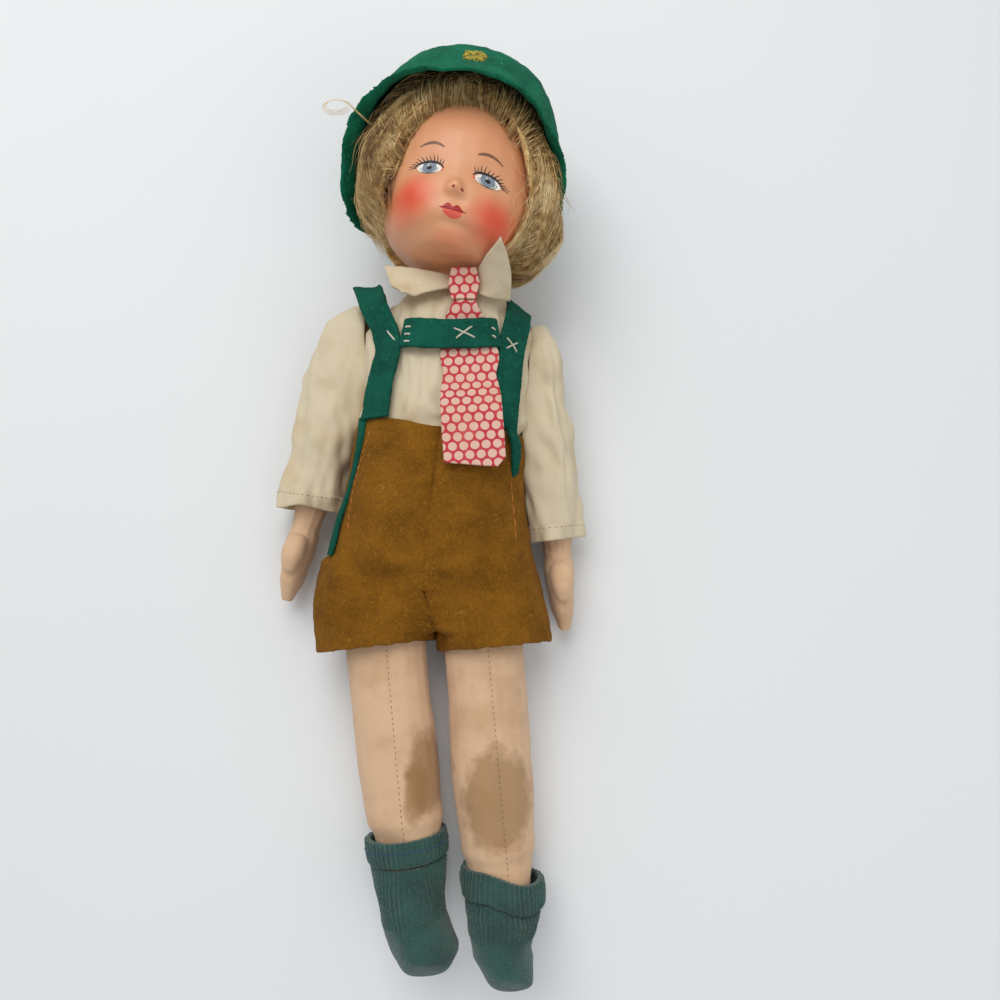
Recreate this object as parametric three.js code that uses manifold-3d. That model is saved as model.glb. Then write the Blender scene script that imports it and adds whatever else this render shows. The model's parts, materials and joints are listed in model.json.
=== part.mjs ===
// Dressed cloth doll lying on its back. Millimetres, +Z up, +Y towards the head, +X towards the doll's left.
// Soft stuffed body and limbs, a composition head with a wig, and sewn cotton, felt and knitted clothes.
import * as THREE from "three";
import { mergeVertices } from "three/addons/utils/BufferGeometryUtils.js";
import Module from "manifold-3d";

const wasm = await Module();
wasm.setup();

// Clearances and cloth thicknesses
const GAP = 0.4; // between a piece and what it is fitted over
const COTTON = 1.0; // shirt, collar and tie cloth with its turned seam
const FELT = 1.8; // shorts, straps and hat
const KNIT = 1.3; // socks
const THREAD = 0.9; // thickness of the hand stitches

// Torso, from the neck seam down to the closing seam between the legs
const TORSO_TOP = 77;
const TORSO_BOTTOM = -37;
const TORSO_MID_HEIGHT = 26; // centre of the torso above the floor
const NECK_WIDTH = 26;
const SHOULDER_WIDTH = 66;
const SHOULDER_DROP = 12; // fall from the neck seam to the full shoulder
const CHEST_DEPTH = 37;
const BELLY_DEPTH = 39;
const HIP_WIDTH = 64;
const PELVIS_SHIFT = -7; // the hips lie a little to the doll's right of the neck
const TORSO_SQUARENESS = 2.6; // 2 is an oval section, more is boxier
const SEAM_EDGE = 1.6; // thickness of a flattened, sewn-shut edge

// Head, measured from its own centre
const HEAD_CENTRE = new THREE.Vector3(4, 106, 43.5);
const HEAD_ROLL = THREE.MathUtils.degToRad(-9); // crown leans to the doll's left
const HEAD_WIDTH = 61;
const FACE_FRONT = 30;
const SKULL_BACK = 30;
const CROWN = 48;
const CHIN = 22;
const NECK_AXIS_HEIGHT = 27;
const NOSE_RADIUS = 3.0;

// Hair and hat
const HAIR_DEPTH = 5;
const HAIRLINE_HALF_WIDTH = 27.5;
const HAIRLINE_HALF_HEIGHT = 42;
const HAT_TILT = THREE.MathUtils.degToRad(29); // hat pushed to the back of the head
const HAT_RADIUS = 40.5; // inside the crown
const HAT_WALL = 20; // straight part of the crown below the dome, at the sides
const HAT_AHEAD = 32; // middle of the dome above the eyes
const BRIM_WIDTH = 5.5;
const HAT_SHIFT = -2.4; // the hat sits a little to the doll's right
const BRIM_DROP = 7;
const BRIM_WAVE = 1.8;
const BADGE_RADIUS = 4.2;

// Arms, measured from the shoulder seam
const ARM_LENGTH = 112;
const UPPER_ARM_WIDTH = 18;
const WRIST_WIDTH = 18;
const HAND_THICKNESS = 7.5;
const HAND_WIDTH = 14.5;
const HAND_LENGTH = 24;
const THUMB_LENGTH = 13;
const THUMB_WIDTH = 5.2;
const SLEEVE_LENGTH = 73;
const CUFF_WIDTH = 25;
const CUFF_HEM = 7;
const SHOULDER_SEAM_RADIUS = 6;
const ARMHOLE_WIDTH = 70; // across the chest, from one armhole seam to the other
const SLEEVE_SET_IN = 4.5; // from the armhole seam to the middle of the sleeve head
const SHOULDER_RISE = { [-1]: 4, [1]: -5 }; // the doll's left shoulder lies lower
const ARM_SPLAY = { [-1]: THREE.MathUtils.degToRad(-14), [1]: THREE.MathUtils.degToRad(6) };
const ARM_DROOP = THREE.MathUtils.degToRad(8);

// Legs, measured from the hip seam
const LEG_LENGTH = { [-1]: 113.5, [1]: 118 }; // hip seam to heel
const THIGH_WIDTH = 31;
const KNEE_WIDTH = 29;
const ANKLE_WIDTH = 25;
const FOOT_RISE = 25; // height of the toes above the ankle
const FOOT_REACH = 18; // distance of the toes past the heel
const HIP_SPREAD = 38.5; // between the two hip seams' middles
const SOCK_TOP = { [-1]: 95, [1]: 105 };
const SOCK_BAND = 9;
const LEG_DROOP = THREE.MathUtils.degToRad(4.6); // the heel lies lower than the hip
const LEG_SPLAY = { [-1]: THREE.MathUtils.degToRad(6.4), [1]: THREE.MathUtils.degToRad(5.2) };

// Shorts
const SHORTS_WAIST = 17;
const SHORTS_HEM = -66;
const SHORTS_WAIST_WIDTH = HIP_WIDTH + 1;
const SHORTS_HIP_WIDTH = HIP_WIDTH + 8;
const SHORTS_SEAT_WIDTH = HIP_WIDTH + 21;
const SHORTS_HEM_WIDTH = 41; // each leg
const SHORTS_BELLY_DEPTH = 47.4;
const SHORTS_HEM_DEPTH = 36;
const POCKET_LENGTH = 48;
const POCKET_STRIP_WIDTH = 3.6;
const POCKET_REACH = 16; // how deep a band is cut to lay the strip on the felt

// Shirt, collar, braces and tie
const SHIRT_TAIL = -4;
const COLLAR_STAND = 3.6;
const COLLAR_LENGTH = 30;
const COLLAR_POINT = 15;
const STRAP_WIDTH = 12;
const STRAP_X = SHOULDER_WIDTH * 0.35; // middle of a strap from the body's middle
const STRAP_SHIFT = 2; // the braces lie a little to the doll's left
const STRAP_LEAN = { [-1]: 5, [1]: 2 }; // how far a strap leans outwards at the shoulder
const STRAP_TILT = 0.45; // how much the stiff felt follows the round of the chest, from 0 to 1
const CHEST_BAR_HEIGHT = 53; // how far up the body the cross bar lies
const STITCH_LENGTH = 11;
const TIE_X = 7; // the knot sits a little to the doll's left
const TIE_DRIFT = 5; // how far the blade's end lies further to the left
const TIE_LENGTH = 72;
const TIE_WIDTH = 23;
const TIE_KNOT_WIDTH = 11;
const TIE_KNOT_LENGTH = 13;

const SIDES = 14; // points round a stuffed piece

// Puts the origin under the middle of the whole doll
const ORIGIN_SHIFT = new THREE.Vector3(4, 0.7, 0);

const MATERIALS = {
  skin_cloth: new THREE.MeshStandardMaterial({ color: 0xd9b596, roughness: 0.9 }),
  composition: new THREE.MeshStandardMaterial({ color: 0xd9946c, roughness: 0.55 }),
  mohair: new THREE.MeshStandardMaterial({ color: 0xb89a68, roughness: 0.8 }),
  green_felt: new THREE.MeshStandardMaterial({ color: 0x14694f, roughness: 0.95 }),
  brown_felt: new THREE.MeshStandardMaterial({ color: 0x7a5216, roughness: 0.95 }),
  cotton: new THREE.MeshStandardMaterial({ color: 0xe3dac4, roughness: 0.9 }),
  printed_cotton: new THREE.MeshStandardMaterial({ color: 0xd8777a, roughness: 0.9 }),
  knit: new THREE.MeshStandardMaterial({ color: 0x2d5b4e, roughness: 0.95 }),
  white_thread: new THREE.MeshStandardMaterial({ color: 0xe8e4d6, roughness: 0.8 }),
  yellow_thread: new THREE.MeshStandardMaterial({ color: 0xb8a72a, roughness: 0.9 }),
};

// Solids

function solidOf(geometry) {
  const bare = geometry.clone();
  bare.deleteAttribute("normal");
  bare.deleteAttribute("uv");
  const merged = mergeVertices(bare, 1e-4);
  return new wasm.Manifold(
    new wasm.Mesh({
      numProp: 3,
      vertProperties: merged.attributes.position.array,
      triVerts: new Uint32Array(merged.index.array),
    }),
  );
}

function geometryOf(solid) {
  const mesh = solid.getMesh();
  const geometry = new THREE.BufferGeometry();
  geometry.setAttribute("position", new THREE.BufferAttribute(mesh.vertProperties, 3));
  geometry.setIndex(new THREE.BufferAttribute(mesh.triVerts, 1));
  geometry.computeVertexNormals();
  return geometry;
}

function box(low, high) {
  const size = high.clone().sub(low);
  const middle = low.clone().add(high).multiplyScalar(0.5);
  return solidOf(new THREE.BoxGeometry(size.x, size.y, size.z).translate(middle.x, middle.y, middle.z));
}

const FAR = 400;
const underFloor = box(new THREE.Vector3(-FAR, -FAR, -FAR), new THREE.Vector3(FAR, FAR, 0));

// The half of space on the +X side (sign 1) or the -X side (sign -1) of a plane
function besidePlane(x, sign) {
  const low = new THREE.Vector3(sign > 0 ? x : -FAR, -FAR, -FAR);
  const high = new THREE.Vector3(sign > 0 ? FAR : x, FAR, FAR);
  return box(low, high);
}

// Closed surface through rings of equally many points, with a fan over each end
function loft(rings) {
  const count = rings[0].length;
  const positions = rings.flat().flatMap((p) => [p.x, p.y, p.z]);
  const triangles = [];
  for (let r = 0; r + 1 < rings.length; r++) {
    for (let i = 0; i < count; i++) {
      const a = r * count + i;
      const b = r * count + ((i + 1) % count);
      triangles.push(a, b, a + count, b, b + count, a + count);
    }
  }
  for (const [ring, reversed] of [[0, true], [rings.length - 1, false]]) {
    const middle = rings[ring].reduce((sum, p) => sum.add(p), new THREE.Vector3()).divideScalar(count);
    const hub = positions.length / 3;
    positions.push(middle.x, middle.y, middle.z);
    for (let i = 0; i < count; i++) {
      const a = ring * count + i;
      const b = ring * count + ((i + 1) % count);
      triangles.push(...(reversed ? [b, a, hub] : [a, b, hub]));
    }
  }
  const geometry = new THREE.BufferGeometry();
  geometry.setAttribute("position", new THREE.Float32BufferAttribute(positions, 3));
  geometry.setIndex(triangles);
  if (signedVolume(positions, triangles) < 0) geometry.setIndex(triangles.reverse());
  return geometry;
}

function signedVolume(positions, triangles) {
  const corner = (i) => new THREE.Vector3().fromArray(positions, 3 * i);
  let volume = 0;
  for (let t = 0; t < triangles.length; t += 3) {
    const [a, b, c] = [corner(triangles[t]), corner(triangles[t + 1]), corner(triangles[t + 2])];
    volume += a.dot(b.cross(c)) / 6;
  }
  return volume;
}

// Rings along a limb. A station is {y, x, z, width, depth}: the middle of a section and its full size there.
// grow moves the surface out by that much all round, ends included.
function limbRings(stations, { steps = 12, sides = SIDES, grow = 0, square = 2 } = {}) {
  const travel = [0];
  for (let i = 1; i < stations.length; i++) {
    const [a, b] = [stations[i - 1], stations[i]];
    travel.push(travel[i - 1] + Math.hypot(b.y - a.y, (b.x ?? 0) - (a.x ?? 0), (b.z ?? 0) - (a.z ?? 0)));
  }
  const values = stations.flatMap((s) => [s.x ?? 0, s.y, s.z ?? 0, s.width / 2, s.depth / 2]);
  const curve = new THREE.CubicInterpolant(travel, values, 5, new Float32Array(5));
  const total = travel[travel.length - 1];
  const at = (t) => Array.from(curve.evaluate(THREE.MathUtils.clamp(t, 0, total)));
  const rings = [];
  for (let k = 0; k <= steps; k++) {
    const t = (total * k) / steps;
    const [x, y, z, halfWidth, halfDepth] = at(t);
    const [ahead, behind] = [at(t + 0.5), at(t - 0.5)];
    const along = new THREE.Vector3(0, ahead[1] - behind[1], ahead[2] - behind[2]).normalize();
    const across = new THREE.Vector3(1, 0, 0);
    const outward = new THREE.Vector3().crossVectors(along, across).normalize();
    const middle = new THREE.Vector3(x, y, z);
    if (k === 0) middle.addScaledVector(along, -grow);
    if (k === steps) middle.addScaledVector(along, grow);
    rings.push(superellipse(middle, across, outward, halfWidth + grow, halfDepth + grow, sides, square));
  }
  return rings;
}

// Ring of points on an oval. square 2 is an ellipse and larger values are boxier.
function superellipse(middle, across, outward, halfWidth, halfDepth, sides, square) {
  const power = (v) => Math.sign(v) * Math.abs(v) ** (2 / square);
  return Array.from({ length: sides }, (_, i) => {
    const angle = (2 * Math.PI * i) / sides;
    return middle.clone()
      .addScaledVector(across, halfWidth * power(Math.cos(angle)))
      .addScaledVector(outward, halfDepth * power(Math.sin(angle)));
  });
}

const limb = (stations, options) => solidOf(loft(limbRings(stations, options)));

// Flat ribbon of cloth along a path, with its width along the given direction at each point
function ribbon(path, widthAt, thickness, upAt) {
  const rings = path.map((p, i) => {
    const along = path[Math.min(i + 1, path.length - 1)].clone().sub(path[Math.max(i - 1, 0)]).normalize();
    const up = upAt(i).clone().addScaledVector(along, -upAt(i).dot(along)).normalize();
    const across = new THREE.Vector3().crossVectors(along, up);
    const half = widthAt(i) / 2;
    return [[-half, 0], [0, 0], [half, 0], [half, 1], [0, 1], [-half, 1]].map(([side, level]) =>
      p.clone().addScaledVector(across, side).addScaledVector(up, level * thickness));
  });
  return solidOf(loft(rings));
}

function mesh(name, solid, material) {
  const made = new THREE.Mesh(geometryOf(solid), MATERIALS[material]);
  made.name = name;
  return made;
}

const turned = (solid, matrix) => solid.transform(matrix.elements);
const moved = (solid, v) => turned(solid, new THREE.Matrix4().makeTranslation(v.x, v.y, v.z));

// Torso and its seams

const spine = (y) => THREE.MathUtils.mapLinear(y, TORSO_TOP, TORSO_BOTTOM, -PELVIS_SHIFT / 4, PELVIS_SHIFT);
const torsoStation = (y, width, depth, lift = 0) => ({
  x: spine(y), y, z: TORSO_MID_HEIGHT + lift, width, depth,
});
const shoulderLine = TORSO_TOP - SHOULDER_DROP;
const torsoStations = [
  torsoStation(TORSO_TOP, NECK_WIDTH, NECK_WIDTH * 0.95),
  torsoStation(TORSO_TOP - SHOULDER_DROP * 0.3, SHOULDER_WIDTH * 0.68, CHEST_DEPTH * 0.78),
  torsoStation(shoulderLine, SHOULDER_WIDTH * 0.96, CHEST_DEPTH * 0.92),
  torsoStation(shoulderLine - 12, SHOULDER_WIDTH, CHEST_DEPTH),
  torsoStation((shoulderLine + TORSO_BOTTOM) / 2 + 10, SHOULDER_WIDTH * 0.9, BELLY_DEPTH),
  torsoStation(TORSO_BOTTOM + 30, HIP_WIDTH * 0.97, BELLY_DEPTH, -0.5),
  torsoStation(TORSO_BOTTOM + 18, HIP_WIDTH, BELLY_DEPTH * 0.8, -1.5),
  torsoStation(TORSO_BOTTOM + 8, HIP_WIDTH * 0.98, BELLY_DEPTH * 0.42, -3),
  torsoStation(TORSO_BOTTOM, HIP_WIDTH * 0.94, SEAM_EDGE, -4),
];
const torsoGrown = (grow) => limb(torsoStations, { steps: 14, grow, square: TORSO_SQUARENESS, sides: 24 });

const hipSeam = (side) =>
  new THREE.Vector3(PELVIS_SHIFT + (side * HIP_SPREAD) / 2, TORSO_BOTTOM - SEAM_EDGE * 0.92, TORSO_MID_HEIGHT - 4);

// Legs and socks, in a frame at the hip seam with the leg along -Y

const heelAt = (side) => -LEG_LENGTH[side];
const legStations = (side, heel = heelAt(side)) => [
  { y: -GAP, width: THIGH_WIDTH * 0.84, depth: SEAM_EDGE },
  { y: -8, width: THIGH_WIDTH * 0.93, depth: THIGH_WIDTH * 0.44 },
  { y: -20, width: THIGH_WIDTH, depth: THIGH_WIDTH * 0.8 },
  { y: -40, width: THIGH_WIDTH * 0.98, depth: THIGH_WIDTH * 0.87 },
  { y: heel * 0.55, width: KNEE_WIDTH, depth: KNEE_WIDTH * 0.92 },
  { y: heel + 22, width: ANKLE_WIDTH, depth: ANKLE_WIDTH * 0.94 },
  { y: heel + 9, z: 0.5, width: ANKLE_WIDTH * 0.98, depth: ANKLE_WIDTH * 0.93 },
  { y: heel, z: FOOT_RISE * 0.22, width: ANKLE_WIDTH * 0.95, depth: ANKLE_WIDTH * 0.88 },
  { y: heel - FOOT_REACH * 0.42, z: FOOT_RISE * 0.53, width: ANKLE_WIDTH * 0.92, depth: ANKLE_WIDTH * 0.76 },
  { y: heel - FOOT_REACH * 0.75, z: FOOT_RISE * 0.82, width: ANKLE_WIDTH * 0.78, depth: ANKLE_WIDTH * 0.58 },
  { y: heel - FOOT_REACH, z: FOOT_RISE, width: ANKLE_WIDTH * 0.4, depth: ANKLE_WIDTH * 0.32 },
];

const legTurn = (side) => new THREE.Matrix4()
  .makeRotationFromEuler(new THREE.Euler(LEG_DROOP, 0, LEG_SPLAY[side]));

// Stretch of a grown leg below a given distance from the hip, for what is fitted over the foot
function footPart(side, grow, from, to) {
  const whole = limb(legStations(side), { steps: 16, grow, sides: 18 });
  const keep = box(new THREE.Vector3(-FAR, to, -FAR), new THREE.Vector3(FAR, from, FAR));
  return whole.intersect(keep);
}

function legGroup(side, word) {
  const group = new THREE.Group();
  group.position.copy(hipSeam(side));
  const turn = legTurn(side);
  const floor = moved(underFloor, hipSeam(side).negate());
  const place = (solid) => turned(solid, turn).subtract(floor);
  const leg = limb(legStations(side), { steps: 16, sides: 18 });
  group.add(mesh(`${word}_leg`, place(leg), "skin_cloth"));

  const foot = footPart(side, GAP, FAR, -FAR);
  const sock = footPart(side, GAP + KNIT, -SOCK_TOP[side] - SOCK_BAND, -FAR).subtract(foot);
  group.add(mesh(`${word}_sock`, place(sock), "knit"));
  const bandFoot = -SOCK_TOP[side] - SOCK_BAND + GAP;
  const band = footPart(side, GAP + KNIT * 1.7, -SOCK_TOP[side], bandFoot).subtract(foot);
  group.add(mesh(`${word}_sock_cuff`, place(band), "knit"));
  return group;
}

// Arms, hands and sleeves, in a frame at the shoulder seam with the arm along -Y

const armholeAt = (side) => spine(shoulderLine) + (side * ARMHOLE_WIDTH) / 2;
const shoulderSeam = (side) => new THREE.Vector3(
  armholeAt(side) + side * (GAP + SLEEVE_SET_IN),
  shoulderLine - UPPER_ARM_WIDTH * 0.35 + SHOULDER_RISE[side],
  TORSO_MID_HEIGHT - 2,
);

const wristAt = -(ARM_LENGTH - HAND_LENGTH - 12);
const armStations = [
  { y: 9, width: 4, depth: 4 },
  { y: 6, width: UPPER_ARM_WIDTH * 0.55, depth: UPPER_ARM_WIDTH * 0.62 },
  { y: -4, width: UPPER_ARM_WIDTH * 0.84, depth: UPPER_ARM_WIDTH * 0.95 },
  { y: -22, width: UPPER_ARM_WIDTH, depth: UPPER_ARM_WIDTH },
  { y: wristAt * 0.7, width: WRIST_WIDTH * 0.96, depth: WRIST_WIDTH },
  { y: wristAt, width: WRIST_WIDTH, depth: WRIST_WIDTH },
  { y: wristAt - 7, width: WRIST_WIDTH * 0.74, depth: WRIST_WIDTH * 0.93 },
  { y: -(ARM_LENGTH - HAND_LENGTH), width: HAND_THICKNESS * 1.15, depth: HAND_WIDTH },
  { y: -(ARM_LENGTH - HAND_LENGTH * 0.4), width: HAND_THICKNESS, depth: HAND_WIDTH * 0.98 },
  { y: -(ARM_LENGTH - HAND_LENGTH * 0.12), width: HAND_THICKNESS * 0.85, depth: HAND_WIDTH * 0.7 },
  { y: -ARM_LENGTH, width: HAND_THICKNESS * 0.45, depth: HAND_WIDTH * 0.32 },
];
const sleeveStations = (grow) => [
  { y: 10.2 + grow, width: 5 - grow, depth: 5 - grow },
  { y: 7.6, width: UPPER_ARM_WIDTH * 0.66, depth: UPPER_ARM_WIDTH * 0.78 },
  { y: -4, width: UPPER_ARM_WIDTH * 0.92, depth: UPPER_ARM_WIDTH * 1.05 },
  { y: -SLEEVE_LENGTH * 0.4, width: (UPPER_ARM_WIDTH + CUFF_WIDTH) / 2, depth: UPPER_ARM_WIDTH * 1.15 },
  { y: -SLEEVE_LENGTH, width: CUFF_WIDTH, depth: WRIST_WIDTH * 1.2 },
].map((s) => ({ ...s, width: s.width + 2 * grow, depth: s.depth + 2 * grow }));

function armGroup(side, word) {
  const group = new THREE.Group();
  const seam = shoulderSeam(side);
  group.position.copy(seam);
  const turn = new THREE.Matrix4().makeRotationFromEuler(new THREE.Euler(ARM_DROOP, 0, ARM_SPLAY[side]));
  const floor = moved(underFloor, seam.clone().negate());
  const bodySide = besidePlane(armholeAt(side) + side * GAP - seam.x, -side);
  const place = (solid) => turned(solid, turn).subtract(floor);

  const patchInner = spine(shoulderLine) + side * (SHOULDER_WIDTH / 2 + 3 * GAP) - seam.x;
  const patchLength = Math.abs(patchInner) + 1;
  const crossways = (radius, length, x) => solidOf(
    new THREE.CylinderGeometry(radius, radius, length, SIDES).rotateZ(Math.PI / 2).translate(x, 0, 0));
  const patch = crossways(SHOULDER_SEAM_RADIUS, patchLength, patchInner / 2 + side * 0.5);
  const arm = place(limb(armStations, { steps: 15, sides: 12 })).subtract(bodySide);
  group.add(mesh(`${word}_arm`, arm.add(patch), "skin_cloth"));

  const thumbRoot = -(ARM_LENGTH - HAND_LENGTH - 2);
  const thumbStation = (along, lift, thick) => ({
    y: thumbRoot - THUMB_LENGTH * along,
    z: HAND_WIDTH / 2 + THUMB_WIDTH * lift,
    width: THUMB_WIDTH * thick,
    depth: THUMB_WIDTH * thick,
  });
  const thumbStations = [thumbStation(0, 0, 1), thumbStation(0.5, 0.62, 1), thumbStation(1, 0.5, 0.5)];
  const thumb = limb(thumbStations, { steps: 8, sides: 10 });
  const handRoom = limb(armStations, { steps: 15, sides: 12, grow: GAP * 0.8 });
  group.add(mesh(`${word}_thumb`, place(thumb.subtract(handRoom)), "skin_cloth"));

  const armRoom = limb(armStations, { steps: 15, sides: 12, grow: GAP });
  const patchRoom = crossways(SHOULDER_SEAM_RADIUS + GAP, SHOULDER_WIDTH, -side * SHOULDER_WIDTH * 0.5);
  const inner = limb(sleeveStations(0), { steps: 9, sides: 20 });
  const outer = limb(sleeveStations(COTTON), { steps: 9, sides: 20 });
  const mouth = box(new THREE.Vector3(-FAR, -FAR, -FAR), new THREE.Vector3(FAR, -SLEEVE_LENGTH, FAR));
  const tube = outer.subtract(inner).subtract(armRoom).subtract(mouth);
  const hemTop = -SLEEVE_LENGTH + CUFF_HEM;
  const hemZone = box(new THREE.Vector3(-FAR, -FAR, -FAR), new THREE.Vector3(FAR, hemTop, FAR));
  const sleeve = place(tube.subtract(hemZone)).subtract(bodySide).subtract(patchRoom);
  group.add(mesh(`${word}_sleeve`, largest(sleeve), "cotton"));
  const hemOuter = limb(sleeveStations(COTTON * 1.5), { steps: 9, sides: 20 });
  const hemEdge = hemTop - GAP * 0.8;
  const hemReach = box(new THREE.Vector3(-FAR, -SLEEVE_LENGTH, -FAR), new THREE.Vector3(FAR, hemEdge, FAR));
  const hem = hemOuter.subtract(inner).subtract(armRoom).intersect(hemReach);
  group.add(mesh(`${word}_cuff`, place(hem), "cotton"));
  return group;
}

// The biggest body of a solid that a cut has left in several
function largest(solid) {
  return solid.decompose().sort((a, b) => b.volume() - a.volume())[0];
}

// Shirt body and collar

const armholeRadius = SHOULDER_SEAM_RADIUS + 2 * GAP;
function armhole(side) {
  const seam = shoulderSeam(side);
  const hole = new THREE.CylinderGeometry(armholeRadius, armholeRadius, 40, SIDES);
  return solidOf(hole.rotateZ(Math.PI / 2).translate(seam.x, seam.y, seam.z));
}

function shirtBody() {
  const above = box(new THREE.Vector3(-FAR, TORSO_TOP - 1.5, -FAR), new THREE.Vector3(FAR, FAR, FAR));
  const below = box(new THREE.Vector3(-FAR, -FAR, -FAR), new THREE.Vector3(FAR, SHIRT_TAIL, FAR));
  let shirt = torsoGrown(GAP + COTTON).subtract(torsoGrown(GAP)).subtract(above).subtract(below);
  for (const side of [-1, 1]) {
    shirt = shirt.subtract(armhole(side)).subtract(besidePlane(armholeAt(side), side));
  }
  return mesh("shirt_body", shirt, "cotton");
}

// Pieces that lie on the shirt, cut to the shirt's own surface
const shirtRoom = torsoGrown(GAP + COTTON + GAP);
const frontHeight = (y) => {
  const along = THREE.MathUtils.clamp((shoulderLine - 6 - y) / 20, 0, 1);
  const depth = THREE.MathUtils.lerp(CHEST_DEPTH * 0.96, BELLY_DEPTH, along);
  return TORSO_MID_HEIGHT + depth / 2 + GAP + COTTON + GAP;
};

const NECK_RADIUS = NECK_WIDTH / 2;
function collarBand() {
  const inner = NECK_RADIUS + GAP + 0.6;
  const outer = inner + COTTON;
  const lean = 0.6;
  const profile = [
    [inner, 0], [outer, 0], [outer + lean, COLLAR_STAND], [inner + lean, COLLAR_STAND], [inner, 0],
  ];
  const ring = new THREE.LatheGeometry(profile.map(([r, h]) => new THREE.Vector2(r, h)), SIDES);
  ring.translate(spine(TORSO_TOP), TORSO_TOP + GAP, NECK_AXIS_HEIGHT);
  return mesh("collar_band", solidOf(ring).subtract(shirtRoom), "cotton");
}

// One collar wing: a strip that leaves the band beside the tie and ends in a point
function collarWing(name, corners, facing) {
  const across = corners[2].clone().sub(corners[0]);
  const up = new THREE.Vector3().crossVectors(across, corners[3].clone().sub(corners[1])).normalize();
  if (up.dot(facing) < 0) up.negate();
  return mesh(name, ribbonPatch(corners, up, COTTON), "cotton");
}

// Thin plate over a four-cornered patch of cloth
function ribbonPatch(corners, up, thickness) {
  const rings = [0, 0.25, 0.5, 0.75, 1].map((t) => {
    const a = corners[0].clone().lerp(corners[1], t);
    const b = corners[3].clone().lerp(corners[2], t);
    const bulge = up.clone().multiplyScalar(Math.sin(Math.PI * t) * 1.6);
    a.add(bulge);
    b.add(bulge);
    const lift = up.clone().multiplyScalar(thickness);
    return [a, b, b.clone().add(lift), a.clone().add(lift)];
  });
  return solidOf(loft(rings));
}

function collarWings() {
  const top = TORSO_TOP + GAP + COLLAR_STAND - 0.4;
  const band = NECK_AXIS_HEIGHT + NECK_RADIUS + GAP + 1.2 + COTTON + GAP; // front of the collar band
  const chest = frontHeight(shoulderLine);
  const besideKnot = TIE_KNOT_WIDTH * 0.54 + GAP;
  const besideKnotTop = TIE_KNOT_WIDTH * 0.45 + GAP;
  const right = collarWing("collar_right_wing", [
    new THREE.Vector3(TIE_X - besideKnotTop, top - 0.5, band),
    new THREE.Vector3(TIE_X - COLLAR_LENGTH, top, band + 2),
    new THREE.Vector3(TIE_X - COLLAR_LENGTH + 6, top - COLLAR_POINT, chest + 2),
    new THREE.Vector3(TIE_X - besideKnot, top - COLLAR_POINT * 0.6, chest + 1),
  ], new THREE.Vector3(-0.2, -0.2, 1));
  const left = collarWing("collar_left_wing", [
    new THREE.Vector3(TIE_X + besideKnotTop, top - 1, chest),
    new THREE.Vector3(TIE_X + COLLAR_POINT - 1, top, band + COLLAR_POINT * 1.6),
    new THREE.Vector3(TIE_X + COLLAR_POINT + 4, top - 8, chest),
    new THREE.Vector3(TIE_X + besideKnot, top - 8, chest + 1),
  ], new THREE.Vector3(0.1, -0.8, 0.5));
  return [right, left];
}

// Tie, straps, cross bar and their hand stitching

function tie() {
  const knotTop = TORSO_TOP + 3.6;
  const knotEnd = knotTop - TIE_KNOT_LENGTH;
  const up = new THREE.Vector3(0, 0, 1);
  const knotHeight = frontHeight(shoulderLine) + 3;
  const knotAt = (t) => new THREE.Vector3(TIE_X, knotTop - TIE_KNOT_LENGTH * t, knotHeight - t);
  const knotPath = [0, 0.5, 1].map(knotAt);
  const knot = ribbon(knotPath, (i) => TIE_KNOT_WIDTH * (i === 1 ? 1.08 : 0.86), 3.2, () => up);
  const steps = 10;
  const top = knotEnd - GAP;
  const overWaist = FELT + 4;
  const bladePath = Array.from({ length: steps + 1 }, (_, i) => {
    const y = top - (TIE_LENGTH * i) / steps;
    const fall = THREE.MathUtils.clamp((y - CHEST_BAR_HEIGHT - STRAP_WIDTH / 2 - 3) / 5, 0, 1);
    const aboveWaist = y - SHORTS_WAIST;
    const rise = 1 - THREE.MathUtils.smoothstep(aboveWaist, STRAP_WIDTH / 4, STRAP_WIDTH);
    const z = frontHeight(y) + GAP / 2 + 3 * fall + overWaist * rise;
    return new THREE.Vector3(TIE_X + (TIE_DRIFT * i) / steps, y, z);
  });
  const spread = (i) => THREE.MathUtils.smoothstep(i, 1, 6);
  const width = (i) => THREE.MathUtils.lerp(TIE_KNOT_WIDTH * 0.9, TIE_WIDTH, spread(i));
  const blade = ribbon(bladePath, width, COTTON, () => up);
  return [
    mesh("tie_knot", knot.subtract(shirtRoom), "printed_cotton"),
    mesh("tie_blade", blade.subtract(shirtRoom), "printed_cotton"),
  ];
}

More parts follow.
